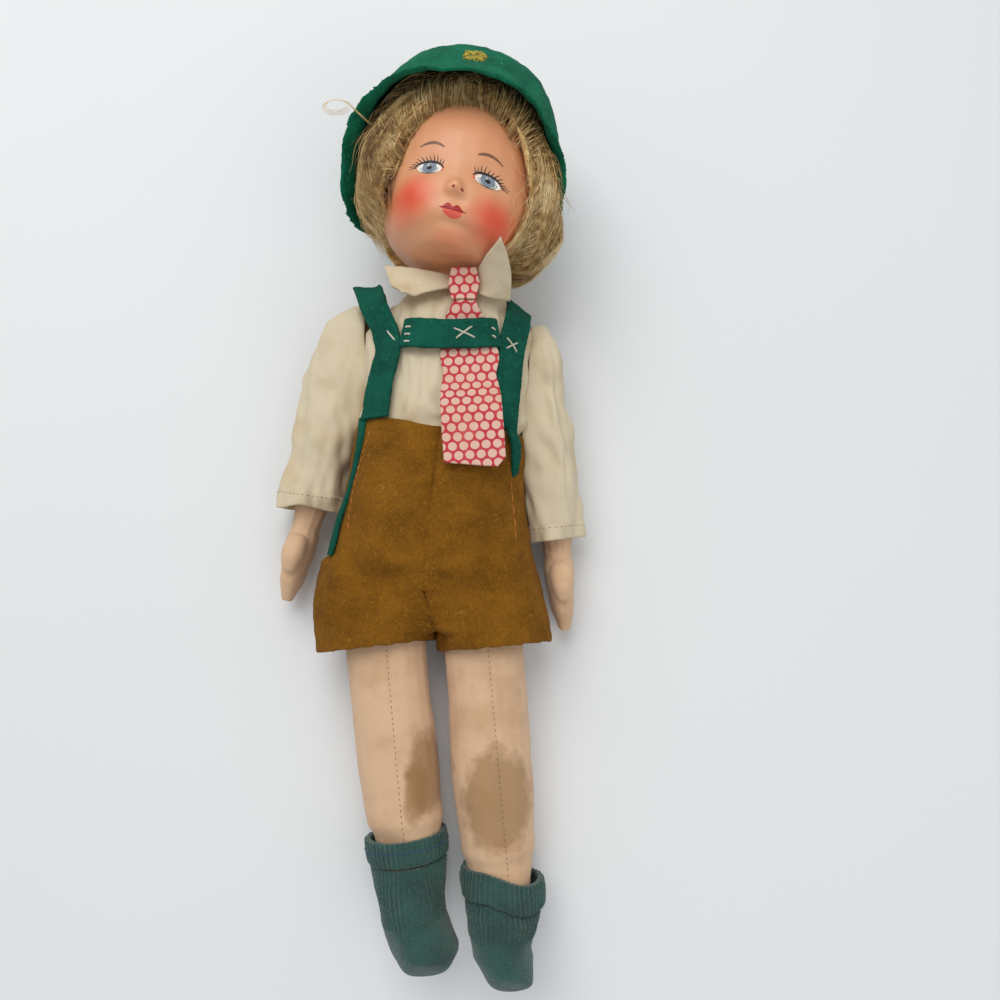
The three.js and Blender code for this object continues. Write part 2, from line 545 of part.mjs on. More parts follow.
const strapLift = GAP + COTTON + GAP;
function strap(side, word) {
  const taper = (y) => THREE.MathUtils.mapLinear(y, shoulderLine, SHORTS_WAIST, 1.02, 0.98);
  const lean = (y) => STRAP_LEAN[side] * THREE.MathUtils.smoothstep(y, CHEST_BAR_HEIGHT - 4, shoulderLine + 4);
  const x = (y) => spine(y) + STRAP_SHIFT + side * (STRAP_X * taper(y) + lean(y));
  const ringAt = (y, front) => {
    const stations = limbRings(torsoStations, { steps: 40, grow: strapLift, square: TORSO_SQUARENESS, sides: 96 });
    const ring = stations.reduce((best, r) => (Math.abs(r[0].y - y) < Math.abs(best[0].y - y) ? r : best));
    const facing = ring.filter((p) => (p.z > TORSO_MID_HEIGHT) === front);
    const at = facing.reduce((best, p) => (Math.abs(p.x - x(y)) < Math.abs(best.x - x(y)) ? p : best));
    return new THREE.Vector3(x(y), y, at.z);
  };
  const low = SHORTS_WAIST - 4;
  const heights = [0, 0.25, 0.5, 0.75, 1].map((t) => THREE.MathUtils.lerp(low, shoulderLine - 2, t));
  const front = heights.map((y) => ringAt(y, true));
  const back = heights.toReversed().map((y) => ringAt(y, false));
  const topY = shoulderLine + 6.5;
  const top = [0.25, 0.5, 0.75].map((t) => {
    const z = THREE.MathUtils.lerp(front.at(-1).z, back[0].z, t);
    return new THREE.Vector3(x(shoulderLine), topY - 8 * (t - 0.5) ** 2, z);
  });
  const path = [...front, ...top, ...back];
  const centre = (i) => {
    const y = Math.min(path[i].y, shoulderLine - 8);
    return new THREE.Vector3(spine(path[i].y), y, TORSO_MID_HEIGHT);
  };
  const facing = (i) => path[i].clone().sub(centre(i)).multiply(new THREE.Vector3(STRAP_TILT, 1, 1)).normalize();
  const solid = ribbon(path, () => STRAP_WIDTH, FELT, facing);
  const clear = besidePlane(armholeAt(side) - side * GAP, side).add(armhole(side));
  const fitted = solid.subtract(shirtRoom).subtract(clear).subtract(shortsRoom());
  return mesh(`${word}_strap`, largest(fitted), "green_felt");
}

const barHeight = frontHeight(CHEST_BAR_HEIGHT) + GAP / 2 + COTTON + 4.5 * GAP;
function chestBar() {
  const half = STRAP_X - STRAP_WIDTH / 2 - GAP - 0.4;
  const lift = barHeight;
  const middle = spine(CHEST_BAR_HEIGHT) + STRAP_SHIFT;
  const path = Array.from({ length: 9 }, (_, i) => {
    const t = i / 4 - 1;
    return new THREE.Vector3(middle + half * t, CHEST_BAR_HEIGHT + 1.5 * t * t, lift - 2.6 * t ** 6);
  });
  const up = new THREE.Vector3(0, 0, 1);
  return mesh("chest_bar", ribbon(path, () => STRAP_WIDTH, FELT, () => up).subtract(shirtRoom), "green_felt");
}

// Crossed hand stitch lying on the felt
function crossStitch(name, at, arms) {
  const bars = arms.map((angle) => solidOf(
    new THREE.CapsuleGeometry(THREAD / 2, STITCH_LENGTH, 3, 6).rotateZ(angle)));
  const cross = bars.reduce((a, b) => a.add(b));
  return mesh(name, moved(cross, at), "white_thread");
}

function stitches() {
  const onBar = barHeight + FELT + THREAD / 2 + GAP * 0.6;
  const y = CHEST_BAR_HEIGHT;
  const tilt = THREE.MathUtils.degToRad(58);
  return [crossStitch("bar_cross_stitch", new THREE.Vector3(spine(y) + 8, y, onBar), [tilt, -tilt])];
}

// Shorts, sewn from two halves along the middle seam

const shortsStations = (grow) => [
  torsoStation(SHORTS_WAIST, SHORTS_WAIST_WIDTH, SHORTS_BELLY_DEPTH, -1),
  torsoStation(0, SHORTS_WAIST_WIDTH + 3, SHORTS_BELLY_DEPTH, -1),
  torsoStation(-20, SHORTS_HIP_WIDTH, SHORTS_BELLY_DEPTH, -1),
  torsoStation(TORSO_BOTTOM - 6, SHORTS_SEAT_WIDTH, SHORTS_HEM_DEPTH - 1, -4),
].map((s) => ({ ...s, width: s.width + 2 * grow, depth: s.depth + 2 * grow }));

const shortsLegStations = (grow) => [
  { y: 10, z: 1, width: SHORTS_HEM_WIDTH * 0.78, depth: SHORTS_HEM_DEPTH + 1 },
  { y: -6, z: 0, width: SHORTS_HEM_WIDTH, depth: SHORTS_HEM_DEPTH + 2 },
  { y: SHORTS_HEM - TORSO_BOTTOM, z: -1, width: SHORTS_HEM_WIDTH, depth: SHORTS_HEM_DEPTH },
].map((s) => ({ ...s, width: s.width + 2 * grow, depth: s.depth + 2 * grow }));

// The space inside one trouser leg, or its outside when grown by the cloth
function shortsLeg(side, grow, extra) {
  const stations = shortsLegStations(grow);
  stations.at(-1).y -= extra;
  const innerEdge = FELT + 2 * GAP;
  const place = new THREE.Matrix4().makeRotationZ(LEG_SPLAY[side]);
  const middle = PELVIS_SHIFT + side * (innerEdge + SHORTS_HEM_WIDTH / 2);
  place.setPosition(middle, hipSeam(side).y, TORSO_MID_HEIGHT - 5.5);
  return turned(limb(stations, { steps: 5, sides: 20, square: 2.2 }), place);
}

function shortsSeat(grow, extra) {
  const stations = shortsStations(grow);
  stations[0] = { ...stations[0], y: stations[0].y + extra };
  return limb(stations, { steps: 7, sides: 22, square: 2.3 });
}

const shortsInside = (grow) => shortsSeat(grow, 6).add(shortsLeg(-1, grow, 6)).add(shortsLeg(1, grow, 6));
const shortsOutside = (grow) => shortsSeat(grow, 0).add(shortsLeg(-1, grow, 0)).add(shortsLeg(1, grow, 0));
const shortsRoom = () => shortsOutside(FELT + GAP).subtract(shortsInside(-GAP));

function shorts() {
  return [[-1, "right"], [1, "left"]].map(([side, word]) => {
    const half = shortsSeat(FELT, 0).intersect(besidePlane(PELVIS_SHIFT + (side * GAP) / 2, side));
    const cloth = half.add(shortsLeg(side, FELT, 0)).subtract(shortsInside(0));
    return mesh(`shorts_${word}_half`, largest(cloth.subtract(underFloor)), "brown_felt");
  });
}

// Narrow felt strip over a pocket slit, lying on the outside of the shorts
function pocketStrip(side, word, length) {
  const point = (out, down, lift) => new THREE.Vector3(
    PELVIS_SHIFT + side * out, SHORTS_WAIST - down, TORSO_MID_HEIGHT + lift);
  const start = point(SHORTS_WAIST_WIDTH * 0.43, 7.5, 16);
  const end = point(SHORTS_HIP_WIDTH * 0.5, length, 10);
  const path = [0, 0.25, 0.5, 0.75, 1].map((t) => start.clone().lerp(end, t));
  const outward = new THREE.Vector3(side, 0, 0.8).normalize();
  const sunk = path.map((p) => p.addScaledVector(outward, -6));
  const band = ribbon(sunk, () => POCKET_STRIP_WIDTH, POCKET_REACH, () => outward);
  const over = shortsOutside(FELT + GAP * 1.8 + FELT * 0.7);
  const skin = over.intersect(band).subtract(shortsOutside(FELT + GAP * 0.8));
  return mesh(`${word}_pocket_strip`, largest(skin), "green_felt");
}

// Head with its neck, wig and hat

const headTurn = new THREE.Matrix4().makeRotationZ(HEAD_ROLL);
const headPlace = new THREE.Matrix4().setPosition(HEAD_CENTRE).multiply(headTurn);

const headStation = (u, halfWidth, front, back) => ({
  y: u, z: (front - back) / 2, width: 2 * halfWidth, depth: front + back,
});
const headStations = [
  headStation(-CHIN, HEAD_WIDTH * 0.24, FACE_FRONT * 0.68, SKULL_BACK * 0.55),
  headStation(-CHIN * 0.8, HEAD_WIDTH * 0.375, FACE_FRONT * 0.9, SKULL_BACK * 0.75),
  headStation(-CHIN * 0.42, HEAD_WIDTH * 0.475, FACE_FRONT * 0.99, SKULL_BACK * 0.9),
  headStation(CROWN * 0.08, HEAD_WIDTH * 0.5, FACE_FRONT * 0.97, SKULL_BACK * 0.99),
  headStation(CROWN * 0.38, HEAD_WIDTH * 0.485, FACE_FRONT * 0.98, SKULL_BACK),
  headStation(CROWN * 0.67, HEAD_WIDTH * 0.42, FACE_FRONT * 0.84, SKULL_BACK * 0.88),
  headStation(CROWN * 0.88, HEAD_WIDTH * 0.29, FACE_FRONT * 0.56, SKULL_BACK * 0.62),
  headStation(CROWN, HEAD_WIDTH * 0.07, FACE_FRONT * 0.08, SKULL_BACK * 0.14),
];
const skull = (grow) => turned(limb(headStations, { steps: 14, sides: 24, grow }), headPlace);

const neckFoot = TORSO_TOP + GAP;
const neck = (grow) => solidOf(new THREE.CylinderGeometry(NECK_RADIUS + grow, NECK_RADIUS + grow, 26, SIDES)
  .translate(spine(TORSO_TOP), neckFoot + 13, NECK_AXIS_HEIGHT));
function head() {
  const nose = turned(solidOf(new THREE.SphereGeometry(NOSE_RADIUS, 10, 8)
    .scale(1.1, 1.3, 1).translate(0, -7, FACE_FRONT - 1)), headPlace);
  return mesh("head", skull(0).add(neck(0)).add(nose), "composition");
}

// Lock of hair along points in the head's own frame
function lock(points, widths, depths) {
  const stations = points.map(([x, y, z], i) => ({ x, y, z, width: widths[i], depth: depths[i] }));
  return turned(limb(stations, { steps: 8, sides: 10 }), headPlace);
}

function wig() {
  const nape = -CHIN + 4;
  const belowNape = box(new THREE.Vector3(-FAR, -FAR, -FAR), new THREE.Vector3(FAR, nape, FAR));
  const under = turned(belowNape, headPlace);
  const opening = new THREE.CylinderGeometry(1, 1, FAR, 32).rotateX(Math.PI / 2)
    .scale(HAIRLINE_HALF_WIDTH, HAIRLINE_HALF_HEIGHT, 1).translate(0, -4, FAR / 2 + 4);
  const face = turned(solidOf(opening), headPlace);
  const side = HEAD_WIDTH / 2;
  const cap = skull(HAIR_DEPTH).subtract(under).subtract(face);
  const rightLock = lock(
    [[-side * 0.86, 24, 15], [-side * 0.98, 8, 14], [-side * 1.02, -8, 10], [-side * 0.95, -17, 6]],
    [6, 8, 8, 3],
    [9, 14, 12, 4],
  );
  const leftLock = lock(
    [[side * 0.86, 24, 13], [side * 1.02, 8, 9], [side * 1.06, -6, 0], [side * 0.92, -15, -10]],
    [6, 9, 10, 4],
    [10, 14, 16, 6],
  );
  const room = skull(GAP).add(neck(GAP));
  const hair = cap.add(rightLock).add(leftLock).subtract(room).subtract(hatShell(-GAP, GAP));
  return mesh("wig", largest(hair), "mohair");
}

// Hat frame: the hat's own axis points up and back from the head
const hatPlace = headPlace.clone()
  .multiply(new THREE.Matrix4().makeTranslation(HAT_SHIFT, HAT_AHEAD, -1.6))
  .multiply(new THREE.Matrix4().makeRotationX(-HAT_TILT));

// Felt hat surface: a dome, a straight wall that is short under the head, and a wavy brim
function hatRings(grow) {
  const sides = 30;
  const domeSteps = 6;
  const radius = HAT_RADIUS + grow;
  const rings = [];
  for (let k = 0; k <= domeSteps; k++) {
    const angle = THREE.MathUtils.lerp(Math.PI / 2 - 0.14, 0, k / domeSteps);
    rings.push({ r: radius * Math.cos(angle), h: radius * Math.sin(angle), wall: 0, flare: 0 });
  }
  rings.push({ r: radius, h: 0, wall: 0.65, flare: 0 });
  rings.push({ r: radius, h: 0, wall: 0.85, flare: 0.4 });
  rings.push({ r: radius, h: 0, wall: 1, flare: 1 });
  return rings.map(({ r, h, wall, flare }) => Array.from({ length: sides }, (_, i) => {
    const a = (2 * Math.PI * i) / sides;
    const back = THREE.MathUtils.smoothstep(-Math.sin(a), 0.2, 1);
    const front = THREE.MathUtils.smoothstep(Math.sin(a), 0.3, 1);
    const deep = HAT_WALL * (1 - 0.85 * back - 0.2 * front);
    const reach = r + flare * BRIM_WIDTH * (0.3 + 0.7 * Math.cos(a) ** 2);
    const ripple = flare * BRIM_WAVE * (Math.sin(3 * a + 0.6) + 0.6 * Math.sin(5 * a + 2));
    const flat = Math.sin(a) > 0 ? 0.9 : 1;
    return new THREE.Vector3(reach * Math.cos(a), h - wall * deep + ripple, reach * Math.sin(a) * flat);
  }));
}
function hatShell(inset, grow) {
  const rings = [...hatRings(FELT + grow), ...hatRings(inset).toReversed()];
  return turned(solidOf(loft(rings)), hatPlace);
}

function hat() {
  return [mesh("hat", hatShell(0, 0).subtract(underFloor), "green_felt"), hatBadge()];
}

// Small embroidered patch on the front of the hat, following the felt
function hatBadge() {
  const facing = THREE.MathUtils.degToRad(80); // round from the top of the crown towards the face
  const column = solidOf(
    new THREE.CylinderGeometry(BADGE_RADIUS, BADGE_RADIUS, HAT_RADIUS, 10).translate(2, HAT_RADIUS, 0));
  const forward = turned(column, hatPlace.clone().multiply(new THREE.Matrix4().makeRotationX(facing)));
  const crown = (grow) => turned(solidOf(loft(hatRings(FELT + grow))), hatPlace);
  const layer = crown(GAP * 0.8 + THREAD).subtract(crown(GAP * 0.8));
  return mesh("hat_badge", layer.intersect(forward), "yellow_thread");
}

const doll = new THREE.Group();
doll.name = "doll";
doll.position.copy(ORIGIN_SHIFT);
doll.add(mesh("torso", torsoGrown(0), "skin_cloth"));
doll.add(shirtBody());
doll.add(collarBand(), ...collarWings());
doll.add(...tie());
doll.add(strap(-1, "right"), strap(1, "left"), chestBar(), ...stitches());
doll.add(...shorts());
doll.add(pocketStrip(-1, "right", POCKET_LENGTH), pocketStrip(1, "left", POCKET_LENGTH * 0.46));
doll.add(head(), wig(), ...hat());
for (const [side, word] of [[-1, "right"], [1, "left"]]) {
  doll.add(armGroup(side, word), legGroup(side, word));
}

export default doll;
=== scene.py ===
"""Dressed cloth doll lying on its back.

It has stuffed limbs, a painted head, a wig, and sewn felt, cotton and knitted clothes.
"""
import json
import math
import random

import bmesh
import bpy
import numpy as np
from mathutils import Matrix, Vector, noise
from mathutils.bvhtree import BVHTree


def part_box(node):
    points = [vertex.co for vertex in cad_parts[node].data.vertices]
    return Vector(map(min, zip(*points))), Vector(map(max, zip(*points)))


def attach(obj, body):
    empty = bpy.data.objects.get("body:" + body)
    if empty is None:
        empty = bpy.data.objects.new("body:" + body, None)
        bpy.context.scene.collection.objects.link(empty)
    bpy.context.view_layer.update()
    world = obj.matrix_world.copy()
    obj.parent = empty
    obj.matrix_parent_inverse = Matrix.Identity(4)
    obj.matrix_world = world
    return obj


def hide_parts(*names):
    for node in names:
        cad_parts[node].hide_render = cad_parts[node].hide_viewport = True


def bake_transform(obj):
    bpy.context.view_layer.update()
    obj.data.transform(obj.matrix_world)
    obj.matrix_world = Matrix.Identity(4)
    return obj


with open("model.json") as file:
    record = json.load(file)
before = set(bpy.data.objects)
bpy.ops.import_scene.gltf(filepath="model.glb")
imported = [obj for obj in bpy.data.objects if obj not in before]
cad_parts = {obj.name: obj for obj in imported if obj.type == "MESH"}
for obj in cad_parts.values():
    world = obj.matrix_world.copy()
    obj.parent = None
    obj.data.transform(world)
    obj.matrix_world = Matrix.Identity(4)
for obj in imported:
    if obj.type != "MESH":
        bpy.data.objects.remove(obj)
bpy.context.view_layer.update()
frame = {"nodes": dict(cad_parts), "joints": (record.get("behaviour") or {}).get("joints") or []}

bl_info = {
    "name": "Cloth doll",
    "version": (1, 0, 0),
    "blender": (4, 5, 0),
    "location": "3D View > Sidebar > Doll",
    "description": "Makes the pieces of a dressed cloth doll over its packed frame",
    "category": "Object",
}

MM = 0.001
SIDES = (("right", -1), ("left", 1))

# Height over every piece, and the way down from it
ABOVE_ALL = 120.0
DOWN = Vector((0, 0, -1))

# Where the joints lie at rest, in millimetres
JOINTS = {joint["name"]: joint for joint in frame["joints"] if "pos_m" in joint}


def joint_at(name):
    return np.array(JOINTS[name]["pos_m"]) / MM


# Head frame: its centre over the neck joint, and its own right and up as it leans
HEAD_CENTRE = joint_at("head_turn") + np.array((2.25, 28.6, 16.5))
HEAD_LEAN = math.radians(-9)
HEAD_ACROSS = np.array((math.cos(HEAD_LEAN), math.sin(HEAD_LEAN), 0.0))
HEAD_UP = np.array((-math.sin(HEAD_LEAN), math.cos(HEAD_LEAN), 0.0))


def limb_turn(droop, splay):
    """Turn from a limb's own frame, with the limb along -Y, to the part's frame."""
    return np.array(Matrix.Rotation(droop, 3, "X") @ Matrix.Rotation(splay, 3, "Z"))


# Limb frames: the seam that a limb hangs from, and how far it droops and turns outwards
HIPS = {word: joint_at(f"{word}_hip") for word, _ in SIDES}
LEG_SPLAY = {"right": math.radians(6.4), "left": math.radians(5.2)}
LEG_LENGTH = {"right": 113.5, "left": 118.0}
LEG_DROOP = math.radians(4.6)
LEG_TURN = {word: limb_turn(LEG_DROOP, LEG_SPLAY[word]) for word, _ in SIDES}
LEG_SEAM_X = 2.2
LEG_STITCH_PITCH = 2.05
SOCK_TOP = {"right": 95.0, "left": 105.0}
SHOULDERS = {word: joint_at(f"{word}_shoulder") for word, _ in SIDES}
ARM_SPLAY = {"right": math.radians(-14), "left": math.radians(6)}
ARM_DROOP = math.radians(8)
ARM_TURN = {word: limb_turn(ARM_DROOP, ARM_SPLAY[word]) for word, _ in SIDES}

# Middle seam of the shorts: where it starts, how far its top leans, and where the legs part
SEAM_X = -3.0
SEAM_LEAN = 6.2
CROTCH_Y = -35.3
GUSSET_Y = -44

# The painted face leans more than the head and is turned a little to the doll's left
FACE_LEAN = math.radians(-13.5)
FACE_ASIDE = 1.35
FACE_SKEW = 0.115
EYE_X = 11.2
FACE_ACROSS = np.array((math.cos(FACE_LEAN), math.sin(FACE_LEAN), 0.0))
FACE_UP = np.array((-math.sin(FACE_LEAN), math.cos(FACE_LEAN), 0.0))


def tone(red, green, blue):
    """Linear colour of a paint or dye given as it looks, 0 to 255."""
    def linear(value):
        value /= 255
        return value / 12.92 if value <= 0.04045 else ((value + 0.055) / 1.055) ** 2.4
    return (linear(red), linear(green), linear(blue), 1.0)


def colour_property(name, description, *rgb):
    return bpy.props.FloatVectorProperty(
        name=name, description=description, subtype="COLOR", size=4, min=0, max=1, default=tone(*rgb))


def length_property(name, description, millimetres):
    return bpy.props.FloatProperty(
        name=name, description=description, default=millimetres * MM, min=0, unit="LENGTH")


class DollColours(bpy.types.PropertyGroup):
    """Colours of the cloths, felts, threads and paint."""
    hat_felt: colour_property("Hat felt", "Green of the hat's felt", 20, 126, 90)
    trim_felt: colour_property("Trim felt", "Green of the straps and strips", 16, 100, 78)
    shorts_felt: colour_property("Shorts felt", "Ochre brown of the shorts", 152, 100, 22)
    shirt_cotton: colour_property("Shirt cotton", "Aged cream of the shirt", 217, 201, 169)
    skin_cloth: colour_property("Skin cloth", "Pinkish beige of limbs and body", 220, 182, 144)
    stain: colour_property("Stain", "Brown of the stains on the cloth", 150, 112, 66)
    face_paint: colour_property("Face paint", "Peach of the painted head", 218, 154, 110)
    blush: colour_property("Blush", "Orange red of the cheeks", 222, 76, 40)
    lips: colour_property("Lips", "Red of the mouth", 166, 14, 12)
    iris: colour_property("Iris", "Blue grey of the eyes", 124, 136, 148)
    hair: colour_property("Hair", "Blond of the mohair", 220, 184, 120)
    tie_red: colour_property("Tie red", "Red of the tie's print", 194, 52, 60)
    tie_dot: colour_property("Tie dots", "Off white of the tie's dots", 226, 184, 164)
    sock_knit: colour_property("Sock knit", "Dark green of the socks", 48, 94, 83)


class DollSizes(bpy.types.PropertyGroup):
    """Sizes that a user may change without leaving the frame."""
    shirt_fold: length_property("Shirt fold", "How deep the shirt's folds lie", 1.3)
    sleeve_fold: length_property("Sleeve fold", "How deep the sleeves' folds lie", 1.1)
    shorts_fold: length_property("Shorts fold", "How deep the shorts' folds lie", 1.2)
    rib_depth: length_property("Rib depth", "How far a knitted rib stands out", 0.36)
    rib_count: bpy.props.IntProperty(
        name="Ribs", description="Ribs round one sock", default=46, min=12)
    lock_count: bpy.props.IntProperty(
        name="Locks", description="Locks of hair laid over each side of the wig", default=62, min=10)
    hair_width: length_property("Hair width", "Thickness of a strand at its root", 0.34)
    fuzz_length: length_property("Fuzz length", "How far a felt fibre stands out", 1.1)
    dot_pitch: length_property("Dot pitch", "Distance between the tie's dots", 4.1)


def colours():
    return bpy.context.scene.doll_colours


def sizes():
    return bpy.context.scene.doll_sizes


def head_point(x, up, front):
    """Point of the head's own frame, in the part's frame."""
    return HEAD_CENTRE + HEAD_ACROSS * x + HEAD_UP * up + np.array((0.0, 0.0, front))


def in_head(points):
    """Points of the part's frame, as x, up and front of the head."""
    rel = points - HEAD_CENTRE
    return np.stack((rel @ HEAD_ACROSS, rel @ HEAD_UP, rel[:, 2]), axis=1)


def face_point(x, up, front):
    """Point of the face's own frame, in the part's frame."""
    turned = x + FACE_ASIDE - FACE_SKEW * up
    return HEAD_CENTRE + FACE_ACROSS * turned + FACE_UP * up + np.array((0.0, 0.0, front))


def in_face(points):
    """Points of the part's frame, as x, up and front of the face."""
    rel = points - HEAD_CENTRE
    up = rel @ FACE_UP
    return np.stack((rel @ FACE_ACROSS - FACE_ASIDE + FACE_SKEW * up, up, rel[:, 2]), axis=1)


def in_arm(points, word):
    """Points of the part's frame, in an arm's own frame."""
    return (points - SHOULDERS[word]) @ ARM_TURN[word]


def in_leg(points, word):
    """Points of the part's frame, in a leg's own frame."""
    return (points - HIPS[word]) @ LEG_TURN[word]


def drift(own, word):
    """How far the left arm's cloth hangs nearer the body than the limb's own line."""
    return -(1.5 + 3.5 * smooth(-own[:, 1], 10, 100)) if word == "left" else np.zeros(len(own))


def foot_lean(own, word):
    """How far the foot and its sock turn aside of the leg's own line."""
    along = -own[:, 1] - SOCK_TOP[word]
    lean = (0, 1.0, 1.6, 3.0, 7.5) if word == "right" else (0, 0, -1.0, -2.4, 1.0)
    slim = -0.16 * bell(along, 24, 8) + 0.14 * smooth(along, 29, 36)
    return np.interp(along, (-12, 0, 15, 25, 35), lean) + slim * own[:, 0]


def seam_lean(y):
    """How far the shorts' middle seam leans aside at y."""
    return SEAM_LEAN * np.clip((y + 34) / 50, 0, 1)


def bell(value, middle, spread):
    return np.exp(-((value - middle) / spread) ** 2)


def smooth(value, low, high):
    t = np.clip((value - low) / (high - low), 0, 1)
    return t * t * (3 - 2 * t)


def ripple(points, size, seed=0, stretch=(1, 1, 1)):
    """Soft noise from -1 to 1 at points in millimetres, with waves of about that size."""
    scaled = points * np.array(stretch) / size + np.array((seed * 17.3, seed * 5.7, seed * 9.1))
    return np.array([noise.noise(Vector(p)) for p in scaled])


# Objects and meshes

def deselect():
    bpy.ops.object.select_all(action="DESELECT")


def take(obj):
    deselect()
    obj.select_set(True)
    bpy.context.view_layer.objects.active = obj


def modify(obj, kind, **settings):
    """Adds a modifier and applies it."""
    take(obj)
    modifier = obj.modifiers.new(kind.title(), kind)
    for key, value in settings.items():
        setattr(modifier, key, value)
    bpy.ops.object.modifier_apply(modifier=modifier.name)


def cloth_copy(name, nodes, voxel, passes, padding=()):
    """New piece over the space of CAD nodes and of oval paddings: merged, remeshed finely and smoothed."""
    deselect()
    mesh = bpy.data.meshes.new(name)
    form = bmesh.new()
    for node in nodes:
        form.from_mesh(frame["nodes"][node].data)
    for centre, reach in padding:
        where = Matrix.Translation(Vector(centre) * MM) @ Matrix.Diagonal((*(Vector(reach) * MM), 1))
        bmesh.ops.create_uvsphere(form, u_segments=32, v_segments=20, radius=1, matrix=where)
    form.to_mesh(mesh)
    form.free()
    obj = bpy.data.objects.new(name, mesh)
    bpy.context.scene.collection.objects.link(obj)
    take(obj)
    bpy.ops.object.mode_set(mode="EDIT")
    bpy.ops.mesh.select_all(action="SELECT")
    bpy.ops.mesh.remove_doubles(threshold=0.00001)
    bpy.ops.object.mode_set(mode="OBJECT")
    modify(obj, "REMESH", mode="VOXEL", voxel_size=voxel * MM)
    modify(obj, "SMOOTH", factor=0.5, iterations=passes)
    take(obj)
    bpy.ops.object.shade_smooth()
    return obj


def corners(obj):
    """Vertices and their normals, in millimetres."""
    mesh = obj.data
    count = len(mesh.vertices)
    flat = np.empty(count * 3, np.float32)
    mesh.vertices.foreach_get("co", flat)
    normals = np.empty(count * 3, np.float32)
    mesh.vertices.foreach_get("normal", normals)
    return flat.reshape(-1, 3).astype(float) / MM, normals.reshape(-1, 3).astype(float)


def place(obj, points):
    points[:, 2] = np.maximum(points[:, 2], 0.05)
    obj.data.vertices.foreach_set("co", (points * MM).astype(np.float32).ravel())
    obj.data.update()


def swell(obj, amount):
    """Moves each vertex along its normal by amount, a list of millimetres."""
    points, normals = corners(obj)
    place(obj, points + normals * np.asarray(amount)[:, None])


def soften(obj, share, passes):
    """Smooths a piece where share, from 0 to 1, says so."""
    near = obj.vertex_groups.new(name="soft")
    levels = np.rint(np.clip(share, 0, 1) * 10).astype(int)
    for level in range(1, 11):
        chosen = (levels == level).nonzero()[0].tolist()
        if chosen:
            near.add(chosen, level / 10, "REPLACE")
    modify(obj, "SMOOTH", factor=0.5, iterations=passes, vertex_group=near.name)
    obj.vertex_groups.clear()


def tree_of(obj):
    points, _ = corners(obj)
    faces = [tuple(p.vertices) for p in obj.data.polygons]
    return BVHTree.FromPolygons([Vector(p) for p in points], faces)


def new_piece(name, form):
    mesh = bpy.data.meshes.new(name)
    bmesh.ops.recalc_face_normals(form, faces=form.faces)
    form.to_mesh(mesh)
    form.free()
    mesh.transform(Matrix.Scale(MM, 4))
    obj = bpy.data.objects.new(name, mesh)
    bpy.context.scene.collection.objects.link(obj)
    for polygon in mesh.polygons:
        polygon.use_smooth = True
    return obj


def thread(form, path, radius, sides=6, taper=None, slot=0):
    """Adds a round thread along a path to a mesh in the making, closed at both ends."""
    path = [Vector(p) for p in path]
    rings = []
    side = None
    last = len(path) - 1
    for i, point in enumerate(path):
        along = (path[min(i + 1, last)] - path[max(i - 1, 0)]).normalized()
        if side is None:
            side = along.orthogonal().normalized()
        side = (side - along * side.dot(along)).normalized()
        up = along.cross(side)
        size = radius * (taper(i / last) if taper else (0.55 if i in (0, last) else 1))
        ring = []
        for k in range(sides):
            angle = 2 * math.pi * k / sides
            ring.append(form.verts.new(point + (side * math.cos(angle) + up * math.sin(angle)) * size))
        rings.append(ring)
    for low, high in zip(rings, rings[1:]):
        for k in range(sides):
            face = form.faces.new((low[k], low[(k + 1) % sides], high[(k + 1) % sides], high[k]))
            face.material_index = slot
    form.faces.new(rings[0][::-1]).material_index = slot
    form.faces.new(rings[-1]).material_index = slot


def dress(obj, material, body=None, nodes=()):
    """Gives a piece its finish and its body, and hides the CAD nodes it stands for."""
    for each in material if isinstance(material, (list, tuple)) else [material]:
        obj.data.materials.append(each)
    if nodes:
        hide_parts(*nodes)
    if body:
        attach(obj, body)
    return obj


def fuzz(name, obj, count, length, seed):
    """Fine fibres that stand off a felt piece, as slim closed spikes."""
    draw = random.Random(seed)
    points, normals = corners(obj)
    form = bmesh.new()
    for _ in range(count):
        i = draw.randrange(len(points))
        base = Vector(points[i])
        out = Vector(normals[i])
        lean = Vector((draw.uniform(-1, 1), draw.uniform(-1, 1), draw.uniform(-1, 1)))
        tip = base + (out + lean * 0.9).normalized() * length * draw.uniform(0.4, 1)
        side = out.orthogonal().normalized()
        up = out.cross(side)
        root = [form.verts.new(base - out * 0.15 + (side * math.cos(a) + up * math.sin(a)) * 0.07)
                for a in (0, 2.1, 4.2)]
        top = form.verts.new(tip)
        for k in range(3):
            form.faces.new((root[k], root[(k + 1) % 3], top))
        form.faces.new(root[::-1])
    return new_piece(name, form)


# Node helpers

def add(tree, kind, settings=None, inputs=None):
    made = tree.nodes.new(kind)
    for key, value in (settings or {}).items():
        setattr(made, key, value)
    for key, value in (inputs or {}).items():
        if isinstance(value, bpy.types.NodeSocket):
            tree.links.new(value, made.inputs[key])
        else:
            made.inputs[key].default_value = value
    return made


def calc(tree, operation, *values, clamp=False):
    settings = {"operation": operation, "use_clamp": clamp}
    return add(tree, "ShaderNodeMath", settings, dict(enumerate(values))).outputs[0]


def vector(tree, operation, *values):
    made = add(tree, "ShaderNodeVectorMath", {"operation": operation}, dict(enumerate(values)))
    return made.outputs["Value" if operation == "LENGTH" else "Vector"]


def between(tree, value, low, high):
    inputs = {"Value": value, "From Min": low, "From Max": high}
    return add(tree, "ShaderNodeMapRange", {"interpolation_type": "SMOOTHSTEP"}, inputs).outputs["Result"]


def mix(tree, factor, first, second, blend="MIX"):
    settings = {"data_type": "RGBA", "blend_type": blend}
    return add(tree, "ShaderNodeMix", settings, {0: factor, 6: first, 7: second}).outputs[2]


